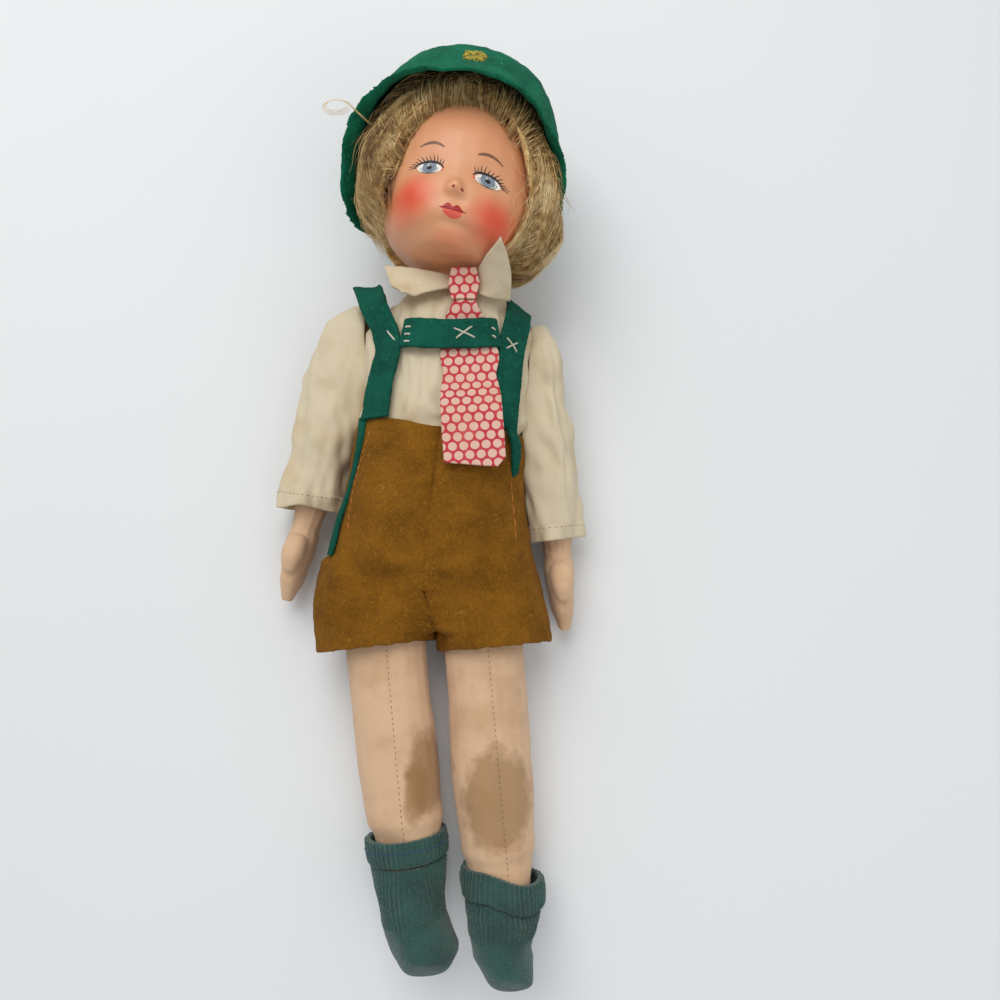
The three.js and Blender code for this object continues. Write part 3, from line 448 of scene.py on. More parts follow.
def speckle(tree, where, size, detail=3.0, roughness=0.55):
    """Noise value with grains of about that size in metres."""
    inputs = {"Vector": where, "Scale": 1 / size, "Detail": detail, "Roughness": roughness}
    return add(tree, "ShaderNodeTexNoise", None, inputs).outputs["Fac"]


def where_on(tree):
    return add(tree, "ShaderNodeTexCoord").outputs["Object"]


def group(name, inputs, outputs):
    """New node group with its sockets, and its input and output nodes."""
    tree = bpy.data.node_groups.new(name, "ShaderNodeTree")
    for label, kind, default in inputs:
        socket = tree.interface.new_socket(label, in_out="INPUT", socket_type=kind)
        socket.default_value = default
    for label, kind in outputs:
        tree.interface.new_socket(label, in_out="OUTPUT", socket_type=kind)
    return tree, tree.nodes.new("NodeGroupInput").outputs, tree.nodes.new("NodeGroupOutput").inputs


NUMBER, COLOUR, VECTOR = "NodeSocketFloat", "NodeSocketColor", "NodeSocketVector"


def weave_group():
    """Crossing threads of plain cloth, a little uneven."""
    tree, given, result = group("plain_weave", [("Thread", NUMBER, 0.0006)], [("Height", NUMBER)])
    where = where_on(tree)
    uneven = add(tree, "ShaderNodeTexNoise", None, {"Vector": where, "Scale": 260.0, "Detail": 2.0})
    drift = vector(tree, "SCALE", vector(tree, "SUBTRACT", uneven.outputs["Color"], (0.5, 0.5, 0.5)))
    drift.node.inputs["Scale"].default_value = 0.0012
    turns = calc(tree, "DIVIDE", 2 * math.pi, given["Thread"])
    scaled = vector(tree, "SCALE", vector(tree, "ADD", where, drift))
    tree.links.new(turns, scaled.node.inputs["Scale"])
    parts = add(tree, "ShaderNodeSeparateXYZ", None, {0: scaled}).outputs
    waves = [calc(tree, "SINE", part) for part in parts]
    first = calc(tree, "MULTIPLY", waves[0], waves[1])
    second = calc(tree, "MULTIPLY", waves[1], waves[2])
    total = calc(tree, "ADD", first, second)
    tree.links.new(calc(tree, "MULTIPLY_ADD", total, 0.25, 0.5), result["Height"])
    return tree


def blotch_group():
    """Uneven patches of a second colour, as on aged or dirty cloth."""
    tree, given, result = group("blotches", [
        ("Base", COLOUR, (1, 1, 1, 1)), ("Patch", COLOUR, (0.5, 0.5, 0.5, 1)),
        ("Size", NUMBER, 0.02), ("Amount", NUMBER, 0.3), ("From", NUMBER, 0.45)], [("Color", COLOUR)])
    where = where_on(tree)
    scale = calc(tree, "DIVIDE", 1.0, given["Size"])
    patches = add(tree, "ShaderNodeTexNoise", None, {
        "Vector": where, "Scale": scale, "Detail": 5.0, "Roughness": 0.6})
    edge = calc(tree, "ADD", given["From"], 0.25)
    mask = between(tree, patches.outputs["Fac"], given["From"], edge)
    factor = calc(tree, "MULTIPLY", mask, given["Amount"])
    tree.links.new(mix(tree, factor, given["Base"], given["Patch"]), result["Color"])
    return tree


def spot_group():
    """Mask of one oval spot with a soft, slightly ragged edge."""
    tree, given, result = group("spot", [
        ("Centre", VECTOR, (0, 0, 0)), ("Reach", VECTOR, (0.01, 0.01, 0.01)),
        ("Soft", NUMBER, 0.5), ("Ragged", NUMBER, 0.0)], [("Mask", NUMBER), ("Rim", NUMBER)])
    where = where_on(tree)
    rel = vector(tree, "DIVIDE", vector(tree, "SUBTRACT", where, given["Centre"]), given["Reach"])
    rag = calc(tree, "MULTIPLY", calc(tree, "SUBTRACT", speckle(tree, where, 0.006), 0.5), given["Ragged"])
    far = calc(tree, "ADD", vector(tree, "LENGTH", rel), rag)
    inner = calc(tree, "SUBTRACT", 1.0, given["Soft"])
    outside = between(tree, far, inner, 1.0)
    tree.links.new(calc(tree, "SUBTRACT", 1.0, outside), result["Mask"])
    ring = calc(tree, "ABSOLUTE", calc(tree, "SUBTRACT", far, 0.92))
    tree.links.new(calc(tree, "SUBTRACT", 1.0, between(tree, ring, 0.0, 0.12)), result["Rim"])
    return tree


def felt_group():
    """Matted fibres: a tangled height and a shade that varies with it."""
    tree, given, result = group("matted_fibre", [("Fibre", NUMBER, 0.0009)], [
        ("Height", NUMBER), ("Shade", NUMBER), ("Fleck", NUMBER)])
    where = where_on(tree)
    scale = calc(tree, "DIVIDE", 1.0, given["Fibre"])
    tangle = add(tree, "ShaderNodeTexNoise", None, {
        "Vector": where, "Scale": scale, "Detail": 4.0, "Roughness": 0.7, "Distortion": 1.6}).outputs["Fac"]
    broad = speckle(tree, where, 0.012, 4.0)
    tree.links.new(tangle, result["Height"])
    shade = calc(tree, "ADD", calc(tree, "MULTIPLY", tangle, 0.6), calc(tree, "MULTIPLY", broad, 0.4))
    tree.links.new(between(tree, shade, 0.32, 0.68), result["Shade"])
    grains = add(tree, "ShaderNodeTexNoise", None, {
        "Vector": where, "Scale": 520.0, "Detail": 1.0, "Distortion": 2.0})
    tree.links.new(between(tree, grains.outputs["Fac"], 0.66, 0.74), result["Fleck"])
    return tree


def dots_group():
    """Staggered round dots over a flat print."""
    tree, given, result = group("staggered_dots", [
        ("Pitch", NUMBER, 0.0042), ("Turn", NUMBER, 0.0), ("Fill", NUMBER, 0.42)], [("Mask", NUMBER)])
    turned = add(tree, "ShaderNodeVectorRotate", {"rotation_type": "Z_AXIS"}, {
        "Vector": where_on(tree), "Angle": given["Turn"]})
    wobble = speckle(tree, where_on(tree), 0.003, 1.0)
    scaled = vector(tree, "SCALE", turned.outputs[0])
    tree.links.new(calc(tree, "DIVIDE", 1.0, given["Pitch"]), scaled.node.inputs["Scale"])
    plane = vector(tree, "MULTIPLY", scaled, (1.0, 1.0, 0.0))
    cell = (1.0, math.sqrt(3), 1.0)
    near = []
    for start in ((0.0, 0.0, 0.5), (0.5, 0.5, 0.5)):
        lattice = vector(tree, "ADD", vector(tree, "DIVIDE", plane, cell), start)
        rel = vector(tree, "SUBTRACT", vector(tree, "FRACTION", lattice), (0.5, 0.5, 0.5))
        near.append(vector(tree, "LENGTH", vector(tree, "MULTIPLY", rel, cell)))
    close = calc(tree, "MINIMUM", *near)
    close = calc(tree, "ADD", close, calc(tree, "MULTIPLY_ADD", wobble, 0.08, -0.04))
    edge = calc(tree, "ADD", given["Fill"], 0.035)
    tree.links.new(calc(tree, "SUBTRACT", 1.0, between(tree, close, given["Fill"], edge)), result["Mask"])
    return tree


def use(tree, maker, **values):
    """Places a shared group in a material, building it the first time."""
    names = {weave_group: "plain_weave", blotch_group: "blotches", spot_group: "spot",
             felt_group: "matted_fibre", dots_group: "staggered_dots"}
    shared = bpy.data.node_groups.get(names[maker]) or maker()
    return add(tree, "ShaderNodeGroup", {"node_tree": shared}, values).outputs


def dye(colour):
    """One of the panel's colours by its name, or a colour given as it looks."""
    return tuple(getattr(colours(), colour)) if isinstance(colour, str) else tone(*colour)


def start_material(name, roughness, **settings):
    material = bpy.data.materials.new(name)
    material.use_nodes = True
    tree = material.node_tree
    shader = tree.nodes["Principled BSDF"]
    shader.inputs["Roughness"].default_value = roughness
    for key, value in settings.items():
        shader.inputs[key.replace("_", " ")].default_value = value
    return material, tree, shader


def relief(tree, shader, height, distance, strength=1.0):
    bump = add(tree, "ShaderNodeBump", None, {"Height": height, "Distance": distance, "Strength": strength})
    tree.links.new(bump.outputs[0], shader.inputs["Normal"])


def colour_in(tree, shader, socket):
    tree.links.new(socket, shader.inputs["Base Color"])


def shaded(tree, colour, value, low, high):
    """Colour made darker or lighter by a 0 to 1 value, as painted shade and painted light."""
    level = calc(tree, "MULTIPLY_ADD", value, high - low, low)
    grey = add(tree, "ShaderNodeCombineColor", None, {0: level, 1: level, 2: level}).outputs[0]
    return mix(tree, 1.0, colour, grey, "MULTIPLY")


def blotched(tree, base, patch, size, amount, start):
    """Colour with uneven patches of a second one where the noise is above start."""
    return use(tree, blotch_group, Base=base, Patch=patch, Size=size, Amount=amount, From=start)["Color"]


def spot(tree, centre, reach, soft, ragged=0.0):
    """Masks of a soft oval spot, with its centre and reach in millimetres."""
    centre, reach = ([value * MM for value in row] for row in (centre, reach))
    return use(tree, spot_group, Centre=centre, Reach=reach, Soft=soft, Ragged=ragged)


def stained(tree, colour, mask, share, stain):
    return mix(tree, calc(tree, "MULTIPLY", mask, share), colour, stain)


def woven(tree, shader, colour, thread_size, low, depth, strength):
    """Finishes a material as plain woven cloth of that colour, with painted shade in the thread hollows and a
    faint painted highlight on the threads.
    """
    height = use(tree, weave_group, Thread=thread_size)["Height"]
    colour_in(tree, shader, shaded(tree, colour, height, low, 1.04))
    relief(tree, shader, height, depth, strength)


def cotton_material(name, base):
    material, tree, shader = start_material(name, 0.93, Sheen_Weight=0.12)
    aged = blotched(tree, base, tone(196, 168, 122), 0.022, 0.55, 0.48)
    spots = blotched(tree, aged, tone(130, 96, 60), 0.0035, 0.5, 0.68)
    woven(tree, shader, spots, 0.00062, 0.86, 0.00012, 0.7)
    return material


# Stains of the knees: centre and reach
STAINS = (((-1, -109, 30), (9, 17, 24)), ((24, -119, 30), (14.5, 21, 24)), ((-5.5, -116, 30), (5, 12, 24)))


def skin_material(name, base, stain):
    material, tree, shader = start_material(name, 0.9, Sheen_Weight=0.15)
    worn = blotched(tree, base, tone(196, 154, 116), 0.016, 0.6, 0.42)
    colour = blotched(tree, worn, tone(138, 106, 74), 0.004, 0.45, 0.64)
    for centre, reach in STAINS:
        masks = spot(tree, centre, reach, 0.3, 0.7)
        colour = stained(tree, colour, masks["Mask"], 0.68, stain)
        colour = stained(tree, colour, masks["Rim"], 0.16, tone(128, 90, 50))
    woven(tree, shader, colour, 0.0005, 0.9, 0.0001, 0.6)
    return material


def felt_material(name, base, dark, fleck):
    material, tree, shader = start_material(name, 0.97, Sheen_Weight=0.0, Specular_IOR_Level=0.2)
    matted = use(tree, felt_group, Fibre=0.0012 if name == "hat_felt" else 0.0010)
    colour = mix(tree, matted["Shade"], dark, base)
    colour_in(tree, shader, stained(tree, colour, matted["Fleck"], 0.7, fleck))
    relief(tree, shader, matted["Height"], 0.0007, 0.9)
    return material


def tie_material(name, print_red, print_dot):
    material, tree, shader = start_material(name, 0.9, Sheen_Weight=0.1)
    red = blotched(tree, print_red, tone(214, 96, 92), 0.008, 0.5, 0.45)
    pale = blotched(tree, print_dot, tone(214, 168, 138), 0.012, 0.6, 0.45)
    mask = use(tree, dots_group, Pitch=sizes().dot_pitch, Turn=math.radians(-4), Fill=0.38)["Mask"]
    woven(tree, shader, mix(tree, mask, red, pale), 0.0005, 0.88, 0.0001, 0.7)
    return material


def knit_material(name, base, dark):
    material, tree, shader = start_material(name, 0.96, Sheen_Weight=0.3)
    matted = use(tree, felt_group, Fibre=0.0007)
    height = use(tree, weave_group, Thread=0.0011)["Height"]
    colour = mix(tree, matted["Shade"], dark, base)
    # Knit hollows painted darker and tops lighter: painted shade and painted highlight.
    colour_in(tree, shader, shaded(tree, colour, height, 0.75, 1.15))
    relief(tree, shader, calc(tree, "ADD", height, matted["Height"]), 0.0004, 0.8)
    return material


def thread_material(name, base, dark):
    material, tree, shader = start_material(name, 0.8, Sheen_Weight=0.2)
    matted = use(tree, felt_group, Fibre=0.0005)
    colour_in(tree, shader, mix(tree, matted["Shade"], dark, base))
    relief(tree, shader, matted["Height"], 0.0002, 0.6)
    return material


def hair_material(name, dark, base, light):
    material, tree, shader = start_material(name, 0.5, Sheen_Weight=0.1)
    where = where_on(tree)
    tint = add(tree, "ShaderNodeTexNoise", None, {"Vector": where, "Scale": 420.0, "Detail": 2.0})
    tint = tint.outputs["Fac"]
    broad = speckle(tree, where, 0.014, 3.0)
    mixed = mix(tree, between(tree, tint, 0.35, 0.65), dark, base)
    colour_in(tree, shader, mix(tree, between(tree, broad, 0.5, 0.72), mixed, light))
    relief(tree, shader, tint, 0.0002, 0.5)
    return material


# Blushed cheeks, in the face's own frame
CHEEKS = ((-16.4, -10.6, 24), (15.2, -12.0, 22))


def composition_material(name, base, blush):
    material, tree, shader = start_material(name, 0.42, Coat_Weight=0.12, Coat_Roughness=0.35)
    colour = blotched(tree, base, tone(222, 148, 106), 0.03, 0.5, 0.42)
    for cheek in CHEEKS:
        wide = spot(tree, face_point(*cheek), (14.5, 12.5, 30), 0.95, 0.1)["Mask"]
        colour = stained(tree, colour, wide, 0.95, blush)
    chin = spot(tree, face_point(0, -22, 22), (13, 5, 20), 0.9)["Mask"]
    colour = stained(tree, colour, chin, 0.3, blush)
    # Browner band across the top of the forehead, along the hairline under the wig.
    hairline_band = spot(tree, head_point(0, 40, 14), (30, 7.5, 30), 0.6, 0.6)["Mask"]
    colour = stained(tree, colour, hairline_band, 0.5, tone(168, 122, 58))
    colour_in(tree, shader, blotched(tree, colour, tone(150, 92, 60), 0.0022, 0.35, 0.7))
    where = where_on(tree)
    fine = speckle(tree, where, 0.0011, 2.0)
    rough = calc(tree, "MULTIPLY_ADD", speckle(tree, where, 0.01), 0.2, 0.34)
    tree.links.new(rough, shader.inputs["Roughness"])
    relief(tree, shader, fine, 0.00006, 0.5)
    return material


def paint_material(name, base, worn):
    material, tree, shader = start_material(name, 0.45, Coat_Weight=0.05)
    colour_in(tree, shader, blotched(tree, base, worn, 0.0016, 0.6, 0.45))
    relief(tree, shader, speckle(tree, where_on(tree), 0.0009), 0.00005, 0.5)
    return material


# What makes each finish, and its colours: names of the panel's, or as they look
FINISHES = {
    "cotton": (cotton_material, "shirt_cotton"),
    "skin": (skin_material, "skin_cloth", "stain"),
    "composition": (composition_material, "face_paint", "blush"),
    "hair": (hair_material, (164, 124, 62), "hair", (232, 200, 138)),
    "hair_dark": (hair_material, (116, 84, 40), (160, 120, 62), (196, 156, 92)),
    "hair_light": (hair_material, (208, 170, 104), (236, 206, 146), (248, 228, 180)),
    "tie": (tie_material, "tie_red", "tie_dot"),
    "hat_felt": (felt_material, "hat_felt", (9, 78, 56), (58, 150, 118)),
    "trim_felt": (felt_material, "trim_felt", (8, 66, 52), (40, 128, 100)),
    "shorts_felt": (felt_material, "shorts_felt", (104, 66, 8), (170, 118, 40)),
    "knit": (knit_material, "sock_knit", (30, 58, 52)),
    "blue_yarn": (thread_material, (52, 82, 128), (28, 48, 84)),
    "white_thread": (thread_material, (226, 222, 206), (168, 160, 140)),
    "orange_thread": (thread_material, (204, 122, 26), (160, 88, 16)),
    "yellow_thread": (thread_material, (206, 182, 44), (120, 110, 30)),
    "seam_thread": (thread_material, (150, 116, 84), (98, 72, 50)),
    # White eye paint, also used for the painted highlight dot on each iris.
    "eye_white": (paint_material, (238, 232, 222), (214, 204, 192)),
    "iris": (paint_material, "iris", (72, 90, 106)),
    "dark_paint": (paint_material, (26, 22, 24), (52, 40, 36)),
    "brow_paint": (paint_material, (122, 84, 62), (148, 100, 74)),
    "lip_paint": (paint_material, "lips", (142, 10, 10)),
    "coral_paint": (paint_material, (226, 92, 70), (212, 74, 54)),
    "nostril_paint": (paint_material, (150, 44, 34), (136, 38, 30)),
}


def finish(name):
    """The material of that name, made once."""
    key = "doll_" + name
    found = bpy.data.materials.get(key)
    if found is None:
        maker, *dyes = FINISHES[name]
        found = maker(name, *map(dye, dyes))
        found.name = key
    return found


# Pieces

class DollPiece:
    """What every operator of this panel shares."""
    bl_options = {"REGISTER", "UNDO"}


class DOLL_OT_body(DollPiece, bpy.types.Operator):
    """Stuffed cloth torso, arms with mitten hands, and legs with a seam down the front"""
    bl_idname = "doll.body"
    bl_label = "Stuffed body"

    def execute(self, context):
        torso = cloth_copy("torso_cloth", ["torso"], 1.3, 10)
        points, _ = corners(torso)
        swell(torso, 0.25 * ripple(points, 14, 1) - 1.6)
        dress(torso, finish("skin"), "torso", ["torso"])
        for word, sign in SIDES:
            self.arm(word, sign)
            self.leg(word, sign)
        return {"FINISHED"}

    def arm(self, word, sign):
        arm = cloth_copy(f"{word}_arm_cloth", [f"{word}_arm", f"{word}_thumb"], 0.55, 10)
        points, _ = corners(arm)
        own = in_arm(points, word)
        hand = smooth(-own[:, 1], 78, 88)
        lumps = 0.32 * ripple(points, 7, 3 + sign) + 0.14 * ripple(points, 2.6, 5)
        fold = -0.5 * bell(own[:, 1], -83, 1.6)
        seam = -0.3 * bell(own[:, 0], 0, 0.8) * smooth(own[:, 2], -2, 3)
        palm = bell(own[:, 1], -92, 10)
        swell(arm, (lumps + seam + 0.7 + 1.3 * palm) * hand + fold - 2.2 * (1 - hand))
        points, _ = corners(arm)
        points[:, 0] += drift(own, word)
        place(arm, points)
        dress(arm, finish("skin"), f"{word}_arm", [f"{word}_arm", f"{word}_thumb"])

    def leg(self, word, sign):
        leg = cloth_copy(f"{word}_leg_cloth", [f"{word}_leg"], 0.75, 12)
        points, _ = corners(leg)
        own = in_leg(points, word)
        bare = 1 - smooth(-own[:, 1], SOCK_TOP[word] - 6, SOCK_TOP[word])
        lumps = 0.4 * ripple(points, 13, 7 + sign) + 0.16 * ripple(points, 4, 9, (1, 0.6, 1))
        front = smooth(own[:, 2], 2, 6)
        seam = -0.55 * bell(own[:, 0], LEG_SEAM_X, 0.7) * front
        calf = smooth(-own[:, 1], 35, 85) * (1 - smooth(-own[:, 1], SOCK_TOP[word], SOCK_TOP[word] + 7))
        calf *= 0.8 + 2.0 * smooth(-sign * own[:, 0], -4, 6)
        toe = smooth(-own[:, 1] - LEG_LENGTH[word], 4, 12)
        swell(leg, (lumps + seam) * bare + calf - (1.5 + 1.6 * toe) * (1 - bare))
        points, _ = corners(leg)
        points[:, 0] += foot_lean(own, word)
        place(leg, points)
        dress(leg, finish("skin"), f"{word}_leg", [f"{word}_leg"])
        form = bmesh.new()
        tree = tree_of(leg)
        for k in range(int((SOCK_TOP[word] - 25) / LEG_STITCH_PITCH) + 2):
            start = -24 - LEG_STITCH_PITCH * k
            path = []
            for step in (0, 0.5, 1):
                at = HIPS[word] + LEG_TURN[word] @ np.array((LEG_SEAM_X, start - 1.25 * step, 40.0))
                hit, normal, _, _ = tree.ray_cast(Vector(at), DOWN)
                path.append(hit + normal * (0.05 if step == 0.5 else -0.12))
            thread(form, path, 0.16, 5)
        stitches = new_piece(f"{word}_leg_seam_stitches", form)
        dress(stitches, finish("seam_thread"), f"{word}_leg")


# Modelled forms of the face: x, up, half width, half height and lift of each
FACE_PAIRS = (
    (15, -10, 9, 8, 1.5),
    (EYE_X, 2.5, 6, 4.2, -1.3),
    (2.4, -7.2, 1.4, 1.4, 0.5),
)
FACE_MIDDLE = (
    (0.6, -9.4, 4.0, 2.4, -1.1),
    (0.8, -4.6, 2.2, 2.0, 0.3),
    (0, -13.4, 6.5, 2.6, 0.9),
    (0, -17.6, 5, 1.2, -0.7),
    (0, -21.5, 6, 3.6, 1.3),
    (0, -1, 2.2, 5, 0.15),
)


class DOLL_OT_head(DollPiece, bpy.types.Operator):
    """Pressed and painted head with its modelled cheeks, nose and chin, and the paint of the face"""
    bl_idname = "doll.head"
    bl_label = "Painted head"

    def execute(self, context):
        head = cloth_copy("painted_head", ["head"], 0.75, 34)
        points, _ = corners(head)
        near = np.linalg.norm(points - head_point(0, -7, 30), axis=1)
        nose = bell(near, 0, 6.0)
        points += np.outer(nose, HEAD_ACROSS * 1.6 + HEAD_UP * 1.4)
        place(head, points)
        x, up, front = in_face(points).T
        face = smooth(front, 8, 16)

        def bump(at_x, at_up, wide, high, lift):
            return lift * bell(x, at_x, wide) * bell(up, at_up, high) * face
        shape = 0.06 * ripple(points, 6, 2)
        for at_x, *rest in FACE_PAIRS:
            shape += bump(-at_x, *rest) + bump(at_x, *rest)
        for form in FACE_MIDDLE:
            shape += bump(*form)
        swell(head, shape)
        modify(head, "SMOOTH", factor=0.5, iterations=3)
        dress(head, finish("composition"), "head", ["head"])
        self.paint(head)
        return {"FINISHED"}

    def paint(self, head):
        tree = tree_of(head)
        form = bmesh.new()
        slots = ["eye_white", "iris", "dark_paint", "brow_paint", "lip_paint", "coral_paint", "nostril_paint"]

        def on_face(x, up, lift):
            start = face_point(x, up, 80)
            hit, normal, _, _ = tree.ray_cast(Vector(start), DOWN)
            return hit + normal * lift

        def patch(outline, middle, slot, lift, rings=4):
            """Filled shape of paint inside an outline."""
            hub = form.verts.new(on_face(*middle, lift))
            last = None
            for ring in range(1, rings + 1):
                share = ring / rings
                row = []
                for px, pu in outline:
                    at = (middle[0] + (px - middle[0]) * share, middle[1] + (pu - middle[1]) * share)
                    row.append(form.verts.new(on_face(*at, lift if ring < rings else -0.03)))
                for k in range(len(row)):
                    n = (k + 1) % len(row)
                    quad = (hub, row[k], row[n]) if last is None else (last[k], row[k], row[n], last[n])
                    form.faces.new(quad).material_index = slots.index(slot)
                last = row

        def arc(cx, cu, wide, high, angles):
            return [(cx + wide * math.cos(a), cu + high * math.sin(a)) for a in angles]

        def whole(count):
            return [2 * math.pi * k / count for k in range(count)]

        def dab(at, wide, high, count, slot, lift, rings=2):
            """Oval spot of paint."""
            patch(arc(*at, wide, high, whole(count)), at, slot, lift, rings)

        def stroke(path, widths, slot, lift):
            """Tapered brush stroke along a path, as a thin raised strip."""
            rows = []
            last = len(path) - 1
            for i, (px, pu) in enumerate(path):
                ahead, behind = path[min(i + 1, last)], path[max(i - 1, 0)]
                along = Vector((ahead[0] - behind[0], ahead[1] - behind[1])).normalized()
                half = widths[i] / 2
                row = []
                for side, level in ((1, -0.03), (0.5, lift), (-0.5, lift), (-1, -0.03)):
                    out = half * side
                    row.append(form.verts.new(on_face(px - along.y * out, pu + along.x * out, level)))
                rows.append(row)
            for a, b in zip(rows, rows[1:]):
                for k in range(3):
                    form.faces.new((a[k], b[k], b[k + 1], a[k + 1])).material_index = slots.index(slot)

        for sign in (-1, 1):
            cx, cu = sign * EYE_X, 1.5
            lid = [(cx + sign * 5.3 * math.cos(a), cu + (3.0 if math.sin(a) > 0 else 2.5) * math.sin(a))
                   for a in whole(32)]
            patch(lid, (cx, cu), "eye_white", 0.07)
            seen = [(x, min(up, cu + 2.75)) for x, up in arc(cx, cu + 0.5, 3.45, 3.0, whole(32))]
            patch(seen, (cx, cu + 0.4), "iris", 0.12)
            rim = arc(cx, cu + 0.5, 3.45, 3.0, np.linspace(math.pi, 2 * math.pi, 18))
            stroke(rim, [0.3] * 18, "dark_paint", 0.15)
            dab((cx, cu + 0.6), 1.4, 1.25, 20, "dark_paint", 0.17, 3)
            # White dot on each iris: a painted highlight.
            dab((cx - 0.5, cu + 1.7), 0.6, 0.45, 12, "eye_white", 0.22)
            upper = arc(cx, cu, sign * 5.6, 3.15, np.linspace(0.02, math.pi - 0.1, 16))
            stroke(upper, [0.4 + 0.75 * math.sin(math.pi * k / 15) for k in range(16)], "dark_paint", 0.16)
            lower = arc(cx, cu, sign * 5.0, 2.55, np.linspace(-0.3, -math.pi + 0.5, 12))
            stroke(lower, [0.16] * 12, "brow_paint", 0.1)
            for k in range(12):
                a = 0.05 + 2.5 * k / 11
                root = (cx + sign * 5.5 * math.cos(a), cu + 3.1 * math.sin(a))
                lean = a * 0.8 + 0.12
                long = 2.6 + 0.5 * math.sin(1.7 * k)
                path = []
                for step in (0, 0.35, 0.7, 1):
                    bend = lean - 0.25 * step
                    far = long * step
                    path.append((root[0] + sign * far * math.cos(bend), root[1] + far * math.sin(bend)))
                stroke(path, [0.6, 0.48, 0.34, 0.12], "dark_paint", 0.12)
            for k in range(5):
                at = (cx + sign * (2.2 - 1.1 * k), cu - 1.75 - 0.3 * math.sin(math.pi * k / 4))
                dab(at, 0.24, 0.26, 8, "dark_paint", 0.16)
            dab((cx - sign * 5.2, cu - 0.5), 0.5, 0.55, 12, "coral_paint", 0.12)
            brow = [(sign * (6.4 + 9.6 * s), 9.6 + 2.3 * math.sin(math.pi * (0.1 + 0.78 * s)))
                    for s in np.linspace(0, 1, 14)]
            widths = [0.3 + 1.3 * math.sin(math.pi * (0.12 + 0.8 * k / 13)) for k in range(14)]
            stroke(brow, widths, "brow_paint", 0.08)
            dab((sign * 1.6 + 1.1, -6.4), 0.72, 0.6, 14, "nostril_paint", 0.08)
        upper_lip = []
        for s in np.linspace(0, 1, 25):
            x = -5.6 + 11.2 * s
            bow = 2.1 * (bell(x, -1.9, 1.7) + bell(x, 1.9, 1.7)) - 0.4 * bell(x, 0, 0.8)
            upper_lip.append((x, -13.7 + bow * (1 - (x / 5.7) ** 4)))
        for s in np.linspace(0, 1, 13)[1:-1]:
            x = 5.6 - 11.2 * s
            upper_lip.append((x, -14.0 - 0.45 * math.cos(math.pi * x / 11.2)))
        patch(upper_lip, (0, -13.4), "lip_paint", 0.14)
        lower_lip = [(3.9 * math.cos(a), -14.4 + (0.25 if math.sin(a) > 0 else 2.2) * math.sin(a))
                     for a in whole(30)]
        patch(lower_lip, (0, -15.0), "coral_paint", 0.12)
        paint = new_piece("face_paint", form)
        dress(paint, [finish(s) for s in slots], "head")


# Middle of the loose curl beside the hat
LOOP_MIDDLE = np.array((-36.6, 136.8, 69.0))


